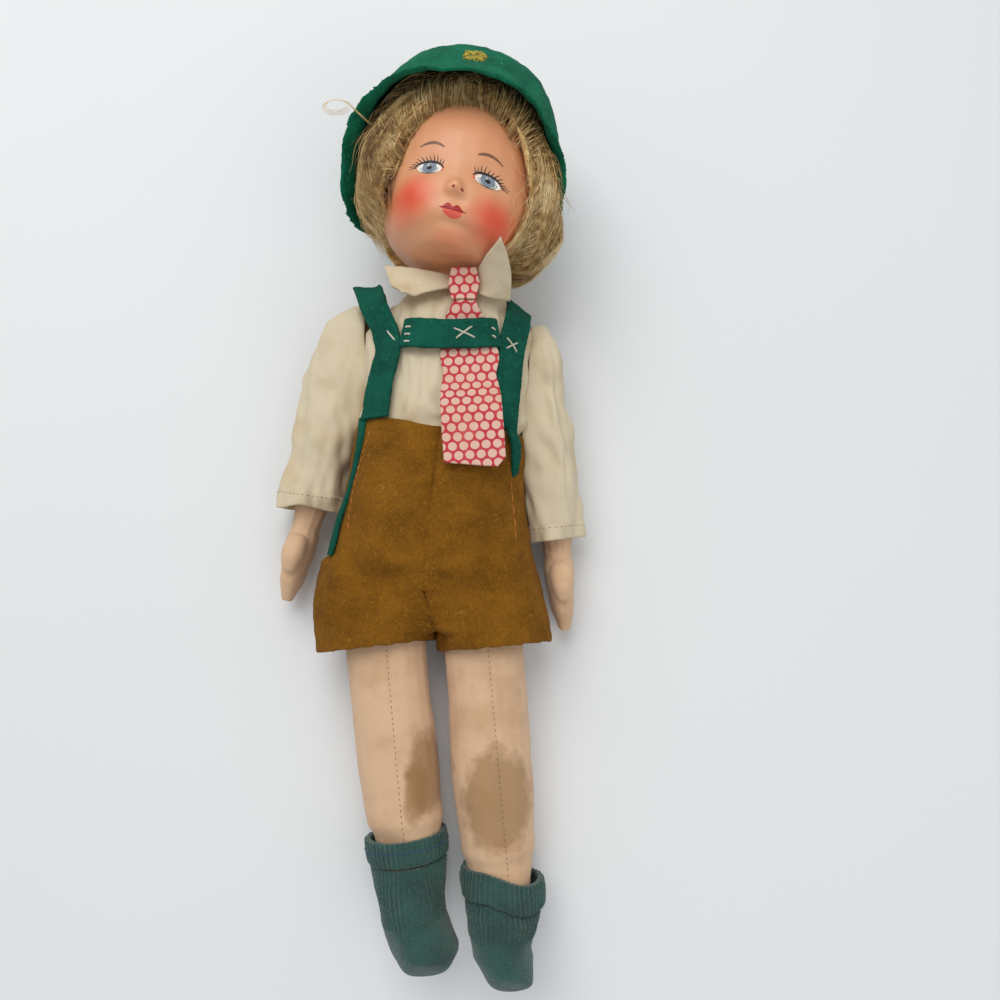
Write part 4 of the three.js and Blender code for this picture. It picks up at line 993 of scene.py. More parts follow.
class DOLL_OT_hair(DollPiece, bpy.types.Operator):
    """Mohair wig: a matted cap with strands and loose curls laid over it"""
    bl_idname = "doll.hair"
    bl_label = "Wig"

    def execute(self, context):
        wig = cloth_copy("wig_cap", ["wig"], 0.8, 6)
        points, _ = corners(wig)
        x, up, front = in_head(points).T
        round_face = np.arctan2(np.abs(x), up)
        deep = np.arctan2(np.hypot(x, up), front)
        combed = np.stack((deep * 34, round_face * 3.0, np.sign(x) * 3), axis=1)
        grooves = ripple(combed, 1.0, 4) + 0.6 * ripple(combed * np.array((2.3, 1.4, 1)), 1.0, 6)
        swell(wig, 0.45 * grooves - 0.35)
        points, _ = corners(wig)
        bare = smooth(-x, 6, 16) * smooth(-up, 6, 14) * smooth(front, -14, 4)
        points += np.outer(bare, HEAD_ACROSS * 9 + np.array((0, 0, -15.0)))
        open_side = smooth(x, 8, 16) * smooth(-up, -16, 8) * smooth(front, -6, 8)
        points += np.outer(open_side, HEAD_ACROSS * 2.5 + np.array((0, 0, -6.0)))
        place(wig, points)
        dress(wig, finish("hair"), "head", ["wig"])
        self.under = (tree_of(wig), tree_of(bpy.data.objects["painted_head"]))
        self.hat = tree_of(bpy.data.objects["felt_hat"])
        draw = random.Random(41)
        for word, sign in SIDES:
            form = bmesh.new()
            for kind, count in (
                (self.lock, sizes().lock_count), (self.stray, 60),
                (self.tuft, 700 if sign < 0 else 200), (self.fringe, 900),
            ):
                for _ in range(count):
                    kind(form, sign, draw)
            if word == "right":
                self.loop(form)
            piece = new_piece(f"{word}_hair_locks", form)
            dress(piece, [finish(s) for s in ("hair", "hair_dark", "hair_light")], "head")
        return {"FINISHED"}

    def on_hair(self, sign, deep, angle, lift):
        """Point over the wig or the face, by its angle from the front and from the crown."""
        across = sign * math.sin(deep) * math.sin(angle)
        way = HEAD_ACROSS * across + HEAD_UP * (math.sin(deep) * math.cos(angle))
        way = way + np.array((0.0, 0.0, math.cos(deep)))
        start = Vector(HEAD_CENTRE + way * 90)
        hits = [tree.ray_cast(start, Vector(-way), 90) for tree in self.under]
        hits = [hit for hit in hits if hit[0] is not None]
        if not hits:
            return None
        place_at = min(hits, key=lambda hit: hit[3])[0]
        room = self.hat.find_nearest(place_at)[3]
        return place_at + Vector(way) * min(lift, max(room - 0.8, 0.0))

    def trail(self, sign, steps, course):
        """Points along a course of depth, angle and lift, as far as there is something below it."""
        path = []
        for k in range(steps + 1):
            at = self.on_hair(sign, *course(k / steps))
            if at is None:
                break
            path.append(at)
        return path

    def lock(self, form, sign, draw):
        """One wavy lock combed from under the hat down the side of the face."""
        deep = math.radians(draw.uniform(61 if sign < 0 else 67, 112))
        start = math.radians(draw.uniform(8, 46))
        stop = math.radians((draw.uniform(90, 114), draw.uniform(116, 145))[sign > 0])
        amp = draw.uniform(0.03, 0.10)
        phase = draw.uniform(0, 6.3)
        turns = draw.uniform(5, 9)
        lift = draw.uniform(0.4, 6.5 if sign < 0 else 4.5)
        slot = draw.choice((0, 0, 1, 2, 2))
        for _ in range(22):
            aside = draw.gauss(0, 0.045)
            high = max(0.05, lift + draw.gauss(0, 0.7))
            late = draw.uniform(-0.1, 0.12)

            def course(s):
                sway = deep + aside * (1.1 - 0.7 * s)
                sway += amp * (0.3 + s) * math.sin(phase + turns * s) - 0.1 * math.sin(math.pi * s)
                curl = 0.35 * max(0.0, s - 0.7) if sign > 0 else 0.0
                along = start + (stop - start + late) * s
                return sway + curl, along, high * math.sin(math.pi * (0.1 + 0.72 * s))
            path = self.trail(sign, 12, course)
            if len(path) > 5:
                width = sizes().hair_width / MM / 2 * draw.uniform(0.6, 1.1)
                thread(form, path, width, 3, lambda s: 1 - 0.85 * s ** 2, slot)

    def fringe(self, form, sign, draw):
        """One short hair combed back from the forehead under the hat."""
        angle = math.radians(draw.uniform(-4, 74))
        low = math.radians(draw.uniform(47, 57) + 3 * math.cos(angle * 1.2))
        if sign > 0:
            low += 0.17 * float(smooth(angle, 0.6, 1.25))
        long = math.radians(draw.uniform(16, 34))
        aside = math.radians(draw.uniform(2, 22))
        lift = draw.uniform(1.5, 8.0)

        def course(s):
            return low + long * s, angle - aside * s, 0.2 + lift * math.sin(0.5 * math.pi * s)

        def taper(s):
            return 0.3 + 0.7 * math.sin(math.pi * min(s * 2, 0.5))
        path = self.trail(sign, 7, course)
        if len(path) > 4:
            thread(form, path, 0.19, 3, taper, draw.choice((0, 0, 1, 2)))

    def tuft(self, form, sign, draw):
        """One hair of the bushy tuft that fills the space under the brim."""
        deep = math.radians(draw.uniform(64, 88))
        start = math.radians(draw.uniform(4, 50))
        long = math.radians(draw.uniform(16, 40))
        phase = draw.uniform(0, 6.3)
        lift = draw.uniform(2, 12)

        def course(s):
            sway = deep + 0.05 * math.sin(phase + 6 * s) + 0.1 * s
            return sway, start + long * s, 0.5 + lift * math.sin(1.8 * s)
        path = self.trail(sign, 8, course)
        if len(path) > 4:
            thread(form, path, 0.17, 3, lambda s: 1 - 0.8 * s * s, draw.choice((0, 0, 1, 2)))

    def stray(self, form, sign, draw):
        """One loose hair that stands off."""
        deep = math.radians(draw.uniform(52, 100))
        start = math.radians(draw.uniform(20, 90))
        long = math.radians(draw.uniform(25, 70))
        phase = draw.uniform(0, 6.3)

        def course(s):
            return deep + 0.12 * math.sin(phase + 5 * s), start + long * s, 1 + 5 * s * s
        path = self.trail(sign, 8, course)
        if len(path) > 4:
            thread(form, path, 0.09, 3, lambda s: 1 - 0.6 * s, 2)

    def loop(self, form):
        """Loose curl that stands out from under the brim."""
        for k in range(4):
            grow = 1 - 0.09 * k
            path = [self.on_hair(-1, 1.25 + 0.02 * k, 0.95, 1.0)]
            for s in np.linspace(0, 1, 19):
                angle = 0.2 + 0.1 * k + 5.6 * s
                wide, high = 5.8 * grow * math.cos(angle), 3.8 * grow * math.sin(angle)
                path.append(LOOP_MIDDLE + np.array((wide, high, 2 * s + 0.4 * k)))
            thread(form, path, 0.1, 3, None, 2)


def push(obj, amount, outward):
    """Moves both faces of a cloth the same way, by amount in millimetres along outward."""
    points, _ = corners(obj)
    size = np.maximum(np.linalg.norm(outward, axis=1), 1e-6)[:, None]
    moved = points + outward / size * np.asarray(amount)[:, None]
    moved[:, 2] = np.maximum(moved[:, 2], 0.1)
    place(obj, moved)


def held_down(points, nodes, near, far):
    """0 where a CAD node lies closely over the cloth, 1 away from it."""
    free = np.ones(len(points))
    for node in nodes:
        tree = tree_of(frame["nodes"][node])
        low, high = (np.array(corner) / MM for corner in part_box(node))
        close = np.all((points > low - far) & (points < high + far), axis=1).nonzero()[0]
        away = np.array([tree.find_nearest(Vector(points[i]))[3] for i in close])
        free[close] = np.minimum(free[close], smooth(away, near, far))
    return free


def lay(tree, x, y, lift):
    """Point on a piece straight below a place seen from above."""
    hit, normal, _, _ = tree.ray_cast(Vector((x, y, ABOVE_ALL)), DOWN)
    if hit is None:
        raise RuntimeError(f"nothing to sew on at {x:.1f}, {y:.1f}")
    return hit + normal * lift


def sew(form, tree, start, end, radius, steps):
    """One straight stitch that dips into the cloth at both ends."""
    path = []
    for k in range(steps + 1):
        t = k / steps
        sink = radius * (1.6 * math.sin(math.pi * t) ** 0.5 - 0.8)
        path.append(lay(tree, start[0] + (end[0] - start[0]) * t, start[1] + (end[1] - start[1]) * t, sink))
    thread(form, path, radius)


def running_stitch(form, tree, path, stitch, gap, radius):
    """Row of short stitches along a line of places seen from above."""
    spots = [Vector(p) for p in path]
    for a, b in zip(spots, spots[1:]):
        long = (b - a).length
        count = max(1, int(long / (stitch + gap)))
        for k in range(count):
            low = a.lerp(b, k / count)
            high = a.lerp(b, k / count + stitch / (stitch + gap) / count)
            sew(form, tree, low, high, radius, 3)


def stitch_round(form, tree, turn, middle, count, marks, radius):
    """Stitches round a limb. Marks pair shares of a stitch with heights over the cloth."""
    for k in range(count):
        path = []
        for share, lift in marks:
            angle = 2 * math.pi * (k + share) / count
            way = turn @ np.array((math.sin(angle), 0, math.cos(angle)))
            hit, normal, _, _ = tree.ray_cast(Vector(middle(angle) + way * 40), Vector(-way))
            if hit is not None:
                path.append(hit + normal * lift)
        if len(path) == len(marks):
            thread(form, path, radius, 5)


HAT_MIDDLE = head_point(-2.4, 28, -2)
HAT_AXIS = np.array(next(joint["axis"] for joint in frame["joints"] if joint["name"] == "hat_lift"))


class DOLL_OT_hat(DollPiece, bpy.types.Operator):
    """Felt hat with a wavy brim, its fuzz and a worn embroidered spot"""
    bl_idname = "doll.hat"
    bl_label = "Hat"

    def execute(self, context):
        hat = cloth_copy("felt_hat", ["hat"], 0.6, 10)
        points, _ = corners(hat)
        waves = 0.7 * ripple(points, 13, 3) + 0.3 * ripple(points, 4, 8)
        push(hat, waves, points - HAT_MIDDLE)
        points, _ = corners(hat)
        outward = points - HAT_MIDDLE
        high = outward @ HAT_AXIS
        aside = np.cross(HAT_AXIS, (0.0, 0.0, 1.0))
        round_hat = np.arctan2(outward @ aside, outward @ np.cross(aside, HAT_AXIS))
        turns = np.linspace(-math.pi, math.pi, 36, endpoint=False)
        lows = [high[np.abs(np.sin((round_hat - turn) / 2)) < 0.1].min() for turn in turns]
        rim = 1 - smooth(high - np.interp(round_hat, turns, lows, period=2 * math.pi), 2, 15)
        points += np.outer(rim * (1.0 + 4.0 * ripple(points, 13, 7)), -HAT_AXIS)
        across, up, _ = in_head(points).T
        lower = rim * smooth(-across, 14, 28) * smooth(-up, -24, -6)
        points += np.outer(lower, (0.5, -12.0, -3.0))
        points[:, 0] -= 3.0 * smooth(across, 22, 38)
        place(hat, points)
        swell(hat, 0.12 * ripple(points, 1.7, 12))
        dress(hat, finish("hat_felt"), "hat", ["hat"])
        hairs = fuzz("hat_fuzz", hat, 2600, sizes().fuzz_length / MM, 11)
        dress(hairs, finish("hat_felt"), "hat")
        self.spot(hat)
        return {"FINISHED"}

    def spot(self, hat):
        """Worn yellow threads sewn criss-cross on the front of the crown."""
        tree = tree_of(hat)
        low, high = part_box("hat_badge")
        middle = (low + high) / 2 / MM
        out = (middle - Vector(HAT_MIDDLE)).normalized()
        side = Vector((0, 0, 1)).cross(out).normalized()
        up = out.cross(side)
        middle = middle + Vector((0.0, -5.5, 8.0))
        draw = random.Random(23)
        form = bmesh.new()
        for _ in range(90):
            angle = draw.uniform(0, 2 * math.pi)
            reach = 3.9 * math.sqrt(draw.random())
            start = middle + side * reach * math.cos(angle) + up * 1.5 * reach * math.sin(angle)
            turn = draw.uniform(0, math.pi)
            long = draw.uniform(1.6, 3.4)
            path = []
            for t in (-0.5, -0.2, 0.2, 0.5):
                at = start + (side * math.cos(turn) + up * math.sin(turn)) * long * t
                hit, normal, _, _ = tree.ray_cast(at + out * 12, -out)
                if hit is not None:
                    path.append(hit + normal * (0.3 if abs(t) < 0.4 else -0.15))
            if len(path) == 4:
                thread(form, path, draw.uniform(0.16, 0.26), 5)
        piece = new_piece("hat_embroidery", form)
        dress(piece, finish("yellow_thread"), "hat", ["hat_badge"])


# How much longer the worn sleeves hang than they were cut
SLEEVE_MORE = 3.0

OVER_SHIRT = ("right_strap", "left_strap", "chest_bar", "tie_blade", "tie_knot", "collar_right_wing",
              "collar_left_wing", "shorts_right_half", "shorts_left_half")


class DOLL_OT_shirt(DollPiece, bpy.types.Operator):
    """Cotton shirt: body with folds and placket, sleeves with stitched cuffs, and the collar"""
    bl_idname = "doll.shirt"
    bl_label = "Shirt"

    def execute(self, context):
        shirt = cloth_copy("shirt_cloth", ["shirt_body"], 0.55, 10)
        points, _ = corners(shirt)
        x, y, z = points.T
        outward = np.stack((0.7 * (x - 3), np.zeros(len(x)), z - 26), axis=1)
        front = smooth(z, 30, 40)
        free = held_down(points, OVER_SHIRT, 0.9, 5.5)
        folds = 1.5 * ripple(points, 11, 2, (1.5, 0.35, 1)) + 0.8 * ripple(points, 5, 5, (1.4, 0.5, 1))
        placket = 0.45 * smooth(x, -10.4, -9.8) * (1 - smooth(x, 3, 5)) * front
        blouse = 1.6 * bell(y, 25, 8) * (1 + 0.8 * ripple(points, 7, 8))
        amount = sizes().shirt_fold / MM * (folds + blouse) + placket
        push(shirt, free * amount + (1 - free) * np.minimum(amount, -0.1), outward)
        points, _ = corners(shirt)
        points[:, 1] += 2.2 * smooth(points[:, 1], 66, 75)
        place(shirt, points)
        dress(shirt, finish("cotton"), "torso", ["shirt_body"])
        for word, sign in SIDES:
            self.sleeve(word, sign)
        self.collar()
        return {"FINISHED"}

    def folds(self, points, word):
        own = in_arm(points, word)
        seed = 3 if word == "right" else 6
        slanted = own.copy()
        slanted[:, 1] = own[:, 1] * 0.55 + own[:, 0] * 0.5
        deep = 2.4 * ripple(slanted, 10, seed) + 1.3 * ripple(slanted, 4.6, seed + 1)
        gathers = 0.5 * np.cos(7 * np.arctan2(own[:, 0], own[:, 2])) * smooth(own[:, 1], -22, -4)
        outward = np.stack((own[:, 0], np.zeros(len(own)), own[:, 2]), axis=1)
        return sizes().sleeve_fold / MM * (deep + 0.5 * gathers) + 0.25, outward @ ARM_TURN[word].T, own

    def sleeve(self, word, sign):
        right = sign < 0
        down = ARM_TURN[word] @ np.array((0, -1, 0))
        sleeve = cloth_copy(f"{word}_sleeve_cloth", [f"{word}_sleeve"], 0.5, 12)
        points, _ = corners(sleeve)
        amount, outward, own = self.folds(points, word)
        along = -own[:, 1]
        push(sleeve, amount * (1 - 0.4 * smooth(-along, 2, 8)), outward)
        points, _ = corners(sleeve)
        inner = smooth(-sign * own[:, 0], 1, 9) * smooth(-along, -50, -12)
        outer = smooth(sign * own[:, 0], 0, 9)
        if right:
            points[:, 0] += 3.0 * inner * (1 - 0.7 * smooth(-along, -14, -2))
            points[:, 0] -= (2.0 + 3.0 * smooth(-along, -40, -8)) * outer
        else:
            points[:, 0] -= 4.5 * inner + 3.2 * outer
            upper_arm = smooth(along, 6, 26) * (1 - smooth(along, 48, 66))
            points[:, 0] -= 2.4 * smooth(-own[:, 0], 1, 9) * upper_arm
        points[:, 0] += drift(own, word)
        points[:, 1] += 2.4 * smooth(-along, -10, 8)
        points[:, 2] += 1.2 * inner * smooth(own[:, 2], 0, 8)
        longer = 1.4 * smooth(along, 58, 65) + SLEEVE_MORE * (outer if right else 1.0) * smooth(along, 30, 66)
        points += np.outer(longer, down)
        place(sleeve, points)
        dress(sleeve, finish("cotton"), f"{word}_arm", [f"{word}_sleeve"])
        cuff = cloth_copy(f"{word}_cuff_cloth", [f"{word}_cuff"], 0.42, 8)
        points, _ = corners(cuff)
        amount, outward, own = self.folds(points, word)
        twist = 0.9 * np.cos(3 * np.arctan2(own[:, 0], own[:, 2]) + 1.0)
        push(cuff, amount + twist * smooth(-own[:, 1], 66, 73), outward)
        points, _ = corners(cuff)
        outer = smooth(sign * own[:, 0], 0, 9)
        points[:, 0] += drift(own, word) - (2.0 if right else 3.2) * outer
        points += np.outer(SLEEVE_MORE * (outer if right else np.ones(len(own))), down)
        place(cuff, points)
        dress(cuff, finish("cotton"), f"{word}_arm", [f"{word}_cuff"])

        def middle(angle):
            lower = SLEEVE_MORE * (0.5 - 0.5 * math.sin(angle) if right else 1.0)
            return SHOULDERS[word] + ARM_TURN[word] @ np.array((0, -67.4 - lower, 0))
        marks = ((0, -0.1), (0.3, 0.06), (0.6, -0.1))
        form = bmesh.new()
        stitch_round(form, tree_of(cuff), ARM_TURN[word], middle, 44, marks, 0.15)
        hem = new_piece(f"{word}_cuff_stitches", form)
        dress(hem, finish("seam_thread"), f"{word}_arm")

    def collar(self):
        band = cloth_copy("collar_band_cloth", ["collar_band"], 0.35, 3)
        points, _ = corners(band)
        outward = points - joint_at("head_turn")
        outward[:, 1] = 0
        push(band, 0.25 * ripple(points, 5, 4), outward)
        points, _ = corners(band)
        low = points[:, 1].min()
        points[:, 1] -= 4.5 * (1 - smooth(points[:, 1], low, low + 5))
        place(band, points)
        dress(band, finish("cotton"), "torso", ["collar_band"])
        right = ((5.7, 80.9, 43.8), (-21.0, 84.6, 45.6), (-15.0, 67.0, 48.0), (5.0, 74.6, 47.2))
        left = ((15.6, 80.4, 46.0), (24.6, 84.8, 67.2), (28.9, 69.2, 46.2), (17.0, 71.8, 47.0))
        self.wing("right", right, (0.026, 0.013))
        self.wing("left", left, (0.019, 0.0105))

    def wing(self, word, cut, flat):
        """One wing of the collar, laid out from its four corners and curled."""
        a, b, c, d = (Vector(p) for p in cut)
        facing = (c - a).cross(d - b).normalized()
        if facing.z < 0 or (word == "left" and facing.y > 0):
            facing.negate()
        form = bmesh.new()
        across, down = 30, 18
        rows = []
        for j in range(down + 1):
            v = j / down
            row = []
            for i in range(across + 1):
                u = i / across
                at = a.lerp(b, u).lerp(d.lerp(c, u), v)
                at += facing * (1.3 * math.sin(math.pi * u) + 0.35 * noise.noise(at / 5.0))
                if word == "right":
                    tip = smooth(u, 0.62, 1.0) * smooth(v, 0.45, 1.0)
                    at += Vector((1.8, 3.4, 2.6)) * float(tip)
                else:
                    rise = smooth(u, 0.5, 1.0) * (1 - v)
                    at += Vector((0.6, -0.8, 0.6)) * float(rise)
                    at.x += 2.0 * u ** 3 * math.sin(math.pi * v)
                row.append(form.verts.new(at))
            rows.append(row)
        for low, high in zip(rows, rows[1:]):
            for i in range(across):
                form.faces.new((low[i], low[i + 1], high[i + 1], high[i]))
        name = f"collar_{word}_wing"
        wing = new_piece(f"{name}_cloth", form)
        modify(wing, "SOLIDIFY", thickness=0.8 * MM, offset=0)
        dress(wing, finish("cotton"), "torso", [name])


# Where the blade comes out of the knot
TIE_TOP = 68.3


class DOLL_OT_tie(DollPiece, bpy.types.Operator):
    """Short printed tie with its knot"""
    bl_idname = "doll.tie"
    bl_label = "Tie"

    def execute(self, context):
        knot = cloth_copy("tie_knot_cloth", ["tie_knot"], 0.35, 4)
        points, _ = corners(knot)
        swell(knot, 0.5 * ripple(points, 4, 3, (1.6, 0.5, 1)))
        dress(knot, finish("tie"), "torso", ["tie_knot"])
        blade = cloth_copy("tie_blade_cloth", ["tie_blade"], 0.38, 4)
        points, _ = corners(blade)
        wave = 0.5 * ripple(points, 9, 2, (1.3, 0.5, 0)) + 0.25
        pleat = 0.9 * bell(points[:, 0], 10.1, 1.6) * smooth(points[:, 1], 45, 66)
        up = np.zeros_like(points)
        up[:, 2] = 1
        push(blade, wave + pleat, up)
        points, _ = corners(blade)
        slant = smooth(-points[:, 1], -8, 2) * 0.16 * (points[:, 0] - 14.6)
        flare = 0.55 * smooth(points[:, 1], 34, 48) * (1 - smooth(points[:, 1], 61, 67))
        cut = points[:, 1].min() + 1.5 * (points[:, 0] - points[:, 0].max() + 4.2)
        points[:, 1] = np.maximum(points[:, 1], cut)
        points[:, 0] += flare * (points[:, 0] - 11.6)
        points[:, 1] = TIE_TOP + (points[:, 1] - slant - TIE_TOP) * 0.93
        place(blade, points)
        dress(blade, finish("tie"), "torso", ["tie_blade"])
        return {"FINISHED"}


class DOLL_OT_braces(DollPiece, bpy.types.Operator):
    """Felt straps, cross bar and pocket strips with their hand stitching"""
    bl_idname = "doll.braces"
    bl_label = "Braces"

    def execute(self, context):
        straps = {}
        for node in ("right_strap", "left_strap", "chest_bar", "right_pocket_strip", "left_pocket_strip"):
            felt = cloth_copy(f"{node}_felt", [node], 0.45, 4)
            points, _ = corners(felt)
            swell(felt, 0.14 * ripple(points, 2.2, 6) + 0.16 * ripple(points, 7, 2))
            points, _ = corners(felt)
            self.settle(node, points)
            place(felt, points)
            dress(felt, finish("trim_felt"), "torso", [node])
            hairs = fuzz(f"{node}_fuzz", felt, 260, 0.7, len(node))
            dress(hairs, finish("trim_felt"), "torso")
            straps[node] = (felt, hairs)
        for node, long in (("right_strap", 0.135), ("left_strap", 0.135), ("chest_bar", 0.038)):
            felt, hairs = straps[node]
        self.stitches(straps)
        return {"FINISHED"}

    def settle(self, node, points):
        """Moves a strap or strip to where it has slipped to on the worn doll."""
        x, y, _ = points.T.copy()
        if node == "right_strap":
            edge = smooth(-x, 18, 29) * smooth(y, 56, 70)
            slip = np.interp(y, (8, 20, 35, 48, 58, 76), (-2.4, -3.2, -2.4, -0.4, -0.4, -6.5))
            points[:, 0] += slip - 4.5 * edge
            points[:, 1] += 4.6 * smooth(y, 54, 76) + 8.0 * edge
            points[:, 2] += 2.4 * smooth(points[:, 1], 54, 76)
            front = points[:, 2] > 26
            points[front, 1] = np.maximum(points[front, 1], 21.5)
        elif node == "right_pocket_strip":
            points += np.outer(bell(y, -1, 11), (1.5, 0, -0.8))
            points += np.outer(smooth(y, -8, 11), (1.6, 12.4, 1.0))
        elif node == "left_pocket_strip":
            rise = smooth(y, -9, 9)
            points += np.outer(1 - rise, (-4.2, 3.2, 0.9)) + np.outer(rise, (1.6, 6.4, 1.2))
        elif node == "chest_bar":
            points[:, 0] = 5.9 + (x - 5.9) * 1.12

    def stitches(self, straps):
        form = bmesh.new()
        bar = tree_of(straps["chest_bar"][0])
        left = tree_of(straps["left_strap"][0])
        right = tree_of(straps["right_strap"][0])
        for tree, start, end in (
            (bar, (7.0, 55.9), (15.8, 51.7)), (bar, (8.0, 51.3), (14.6, 56.7)),
            (left, (27.6, 54.5), (31.8, 49.1)), (left, (27.4, 49.7), (32.2, 53.5)),
            (right, (-19.2, 57.4), (-15.6, 52.4)),
            (bar, (-11.6, 57.1), (-9.2, 56.7)), (bar, (-11.8, 54.1), (-9.4, 53.7)),
            (bar, (-12.0, 51.1), (-9.6, 50.7)),
            (bar, (21.8, 56.5), (23.2, 55.7)), (bar, (22.0, 53.3), (23.4, 52.5)),
        ):
            sew(form, tree, start, end, 0.36, 8)
        piece = new_piece("brace_stitches", form)
        dress(piece, finish("white_thread"), "torso", ["bar_cross_stitch"])


class DOLL_OT_shorts(DollPiece, bpy.types.Operator):
    """Felt shorts in two halves with stitched pockets"""
    bl_idname = "doll.shorts"
    bl_label = "Shorts"

    def execute(self, context):
        halves = {}
        for word, sign in SIDES:
            node = f"shorts_{word}_half"
            lap = ((SEAM_X + sign * 7.9, -39.5, 26.5), (7.8, 17, 14.2))
            half = cloth_copy(f"{node}_felt", [node], 0.8, 20, [lap])
            points, _ = corners(half)
            x, y, z = points.T
            leg = smooth(-y, 20, 40)
            axis_x = (1 - leg) * SEAM_X + leg * (HIPS[word][0] + 0.09 * sign * (-34.6 - y))
            outward = np.stack((x - axis_x, np.zeros(len(x)), z - 21), axis=1)
            front = smooth(z, 26, 36)
            crotch = np.hypot(x - SEAM_X, y - CROTCH_Y)
            turn = np.arctan2(y - CROTCH_Y, np.abs(x - SEAM_X))
            rays = np.cos(6.5 * turn + sign * 0.7) * bell(crotch, 15, 14)
            folds = 1.2 * ripple(points, 14, 4 + sign, (1.3, 0.6, 1)) + 0.5 * ripple(points, 6, 7)
            hem = 0.6 * np.cos(4 * np.arctan2(x - axis_x, z - 21) + sign) * smooth(-y, 46, 64)
            seam = -0.8 * bell(x, SEAM_X, 1.4) * front * smooth(y, -34, -28)
            depth = sizes().shorts_fold / MM
            free = held_down(points, [f"{word}_pocket_strip"], 0.9, 5)
            amount = depth * (folds + 0.75 * rays * front + hem) + seam
            push(half, free * amount + (1 - free) * np.minimum(amount, -0.1), outward)
            soften(half, bell(crotch, 4, 16) * smooth(z, 24, 30), 36)
            points = self.closed(half, sign)
            place(half, points)
            gusset = np.hypot(points[:, 0] - SEAM_X, points[:, 1] - GUSSET_Y)
            soften(half, bell(gusset, 0, 6) * smooth(points[:, 2], 22, 28), 24)
            points = self.closed(half, sign)
            to_pinch = np.array((SEAM_X, GUSSET_Y + 0.2)) - points[:, :2]
            pinch = 0.7 * bell(np.linalg.norm(to_pinch, axis=1), 0, 3.2) * smooth(points[:, 2], 24, 30)
            points[:, :2] += to_pinch * pinch[:, None]
            points[:, 0] += seam_lean(points[:, 1]) * bell(points[:, 0], SEAM_X, 13)
            points[:, 1] += 3.0 * smooth(-points[:, 1], 46, 64)
            if sign < 0:
                points[:, 1] += 5.0 * smooth(SEAM_X - points[:, 0], -6, 22) * smooth(points[:, 1], 2, 17)
            place(half, points)
            swell(half, 0.1 * ripple(points, 1.9, 9))
            dress(half, finish("shorts_felt"), None, [node])
            hairs = fuzz(f"{node}_fuzz", half, 800, 0.55, 31 + sign)
            dress(hairs, finish("shorts_felt"))
            for piece in (half, hairs):
                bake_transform(piece)
            halves[word] = half
        self.pockets(halves)
        self.seam(halves)
        return {"FINISHED"}

    def closed(self, half, sign):
        """Points of a half with its front edge brought up to the middle seam, down to the crotch."""
        points, _ = corners(half)
        levels = np.arange(-62, 18, 1.0)
        for _ in range(3):
            away = sign * (points[:, 0] - SEAM_X - 4.0 * smooth(-points[:, 1], 42, 62))
            gaps, tops = [], []
            for level in levels:
                near = (np.abs(points[:, 1] - level) < 0.9) & (away < 9)
                top = points[near, 2].max()
                gaps.append(away[near & (points[:, 2] > top - 3.0)].min())
                tops.append(top)
            gap = np.interp(points[:, 1], levels, gaps)
            depth = np.interp(points[:, 1], levels, tops) - points[:, 2]
            share = bell(away, gap, 5) * smooth(points[:, 1], -63, -56) * (1 - smooth(depth, 4, 8))
            points[:, 0] -= sign * np.maximum(gap + 0.3, 0) * share
        return points

    def seam(self, halves):
        """Seam allowance behind the middle seam of the front."""
        trees = (tree_of(halves["right"]), tree_of(halves["left"]))
        outline = ((-2.6, -1.0), (0, -0.55), (2.6, -1.0), (2.6, -1.7), (-2.6, -1.7))
        form = bmesh.new()
        rings = []
        for y in np.linspace(15, -32, 48):
            middle = SEAM_X + seam_lean(y)
            high = min(lay(tree, middle + off, y, 0).z for tree, off in zip(trees, (-2.4, 2.4)))
            rings.append([form.verts.new((middle + off, y, high + rise)) for off, rise in outline])
        for low, high in zip(rings, rings[1:]):
            for k in range(5):
                form.faces.new((low[k], low[(k + 1) % 5], high[(k + 1) % 5], high[k]))
        form.faces.new(rings[0][::-1])
        form.faces.new(rings[-1])
        dress(new_piece("shorts_seam_allowance", form), finish("shorts_felt"), "torso")

    def pockets(self, halves):
        form = bmesh.new()
        lines = {
            "right": [(-24.4 - 7.4 * t - 1.6 * math.sin(math.pi * t), 17.0 - 38 * t)
                      for t in np.linspace(0, 1, 7)],
            "left": [(29.0 + 2.2 * t, -1.5 - 24 * t) for t in np.linspace(0, 1, 6)],
        }
        for word, line in lines.items():
            running_stitch(form, tree_of(halves[word]), line, 2.5, 0.4, 0.22)
        stitches = new_piece("pocket_stitches", form)
        dress(stitches, finish("orange_thread"), "torso")


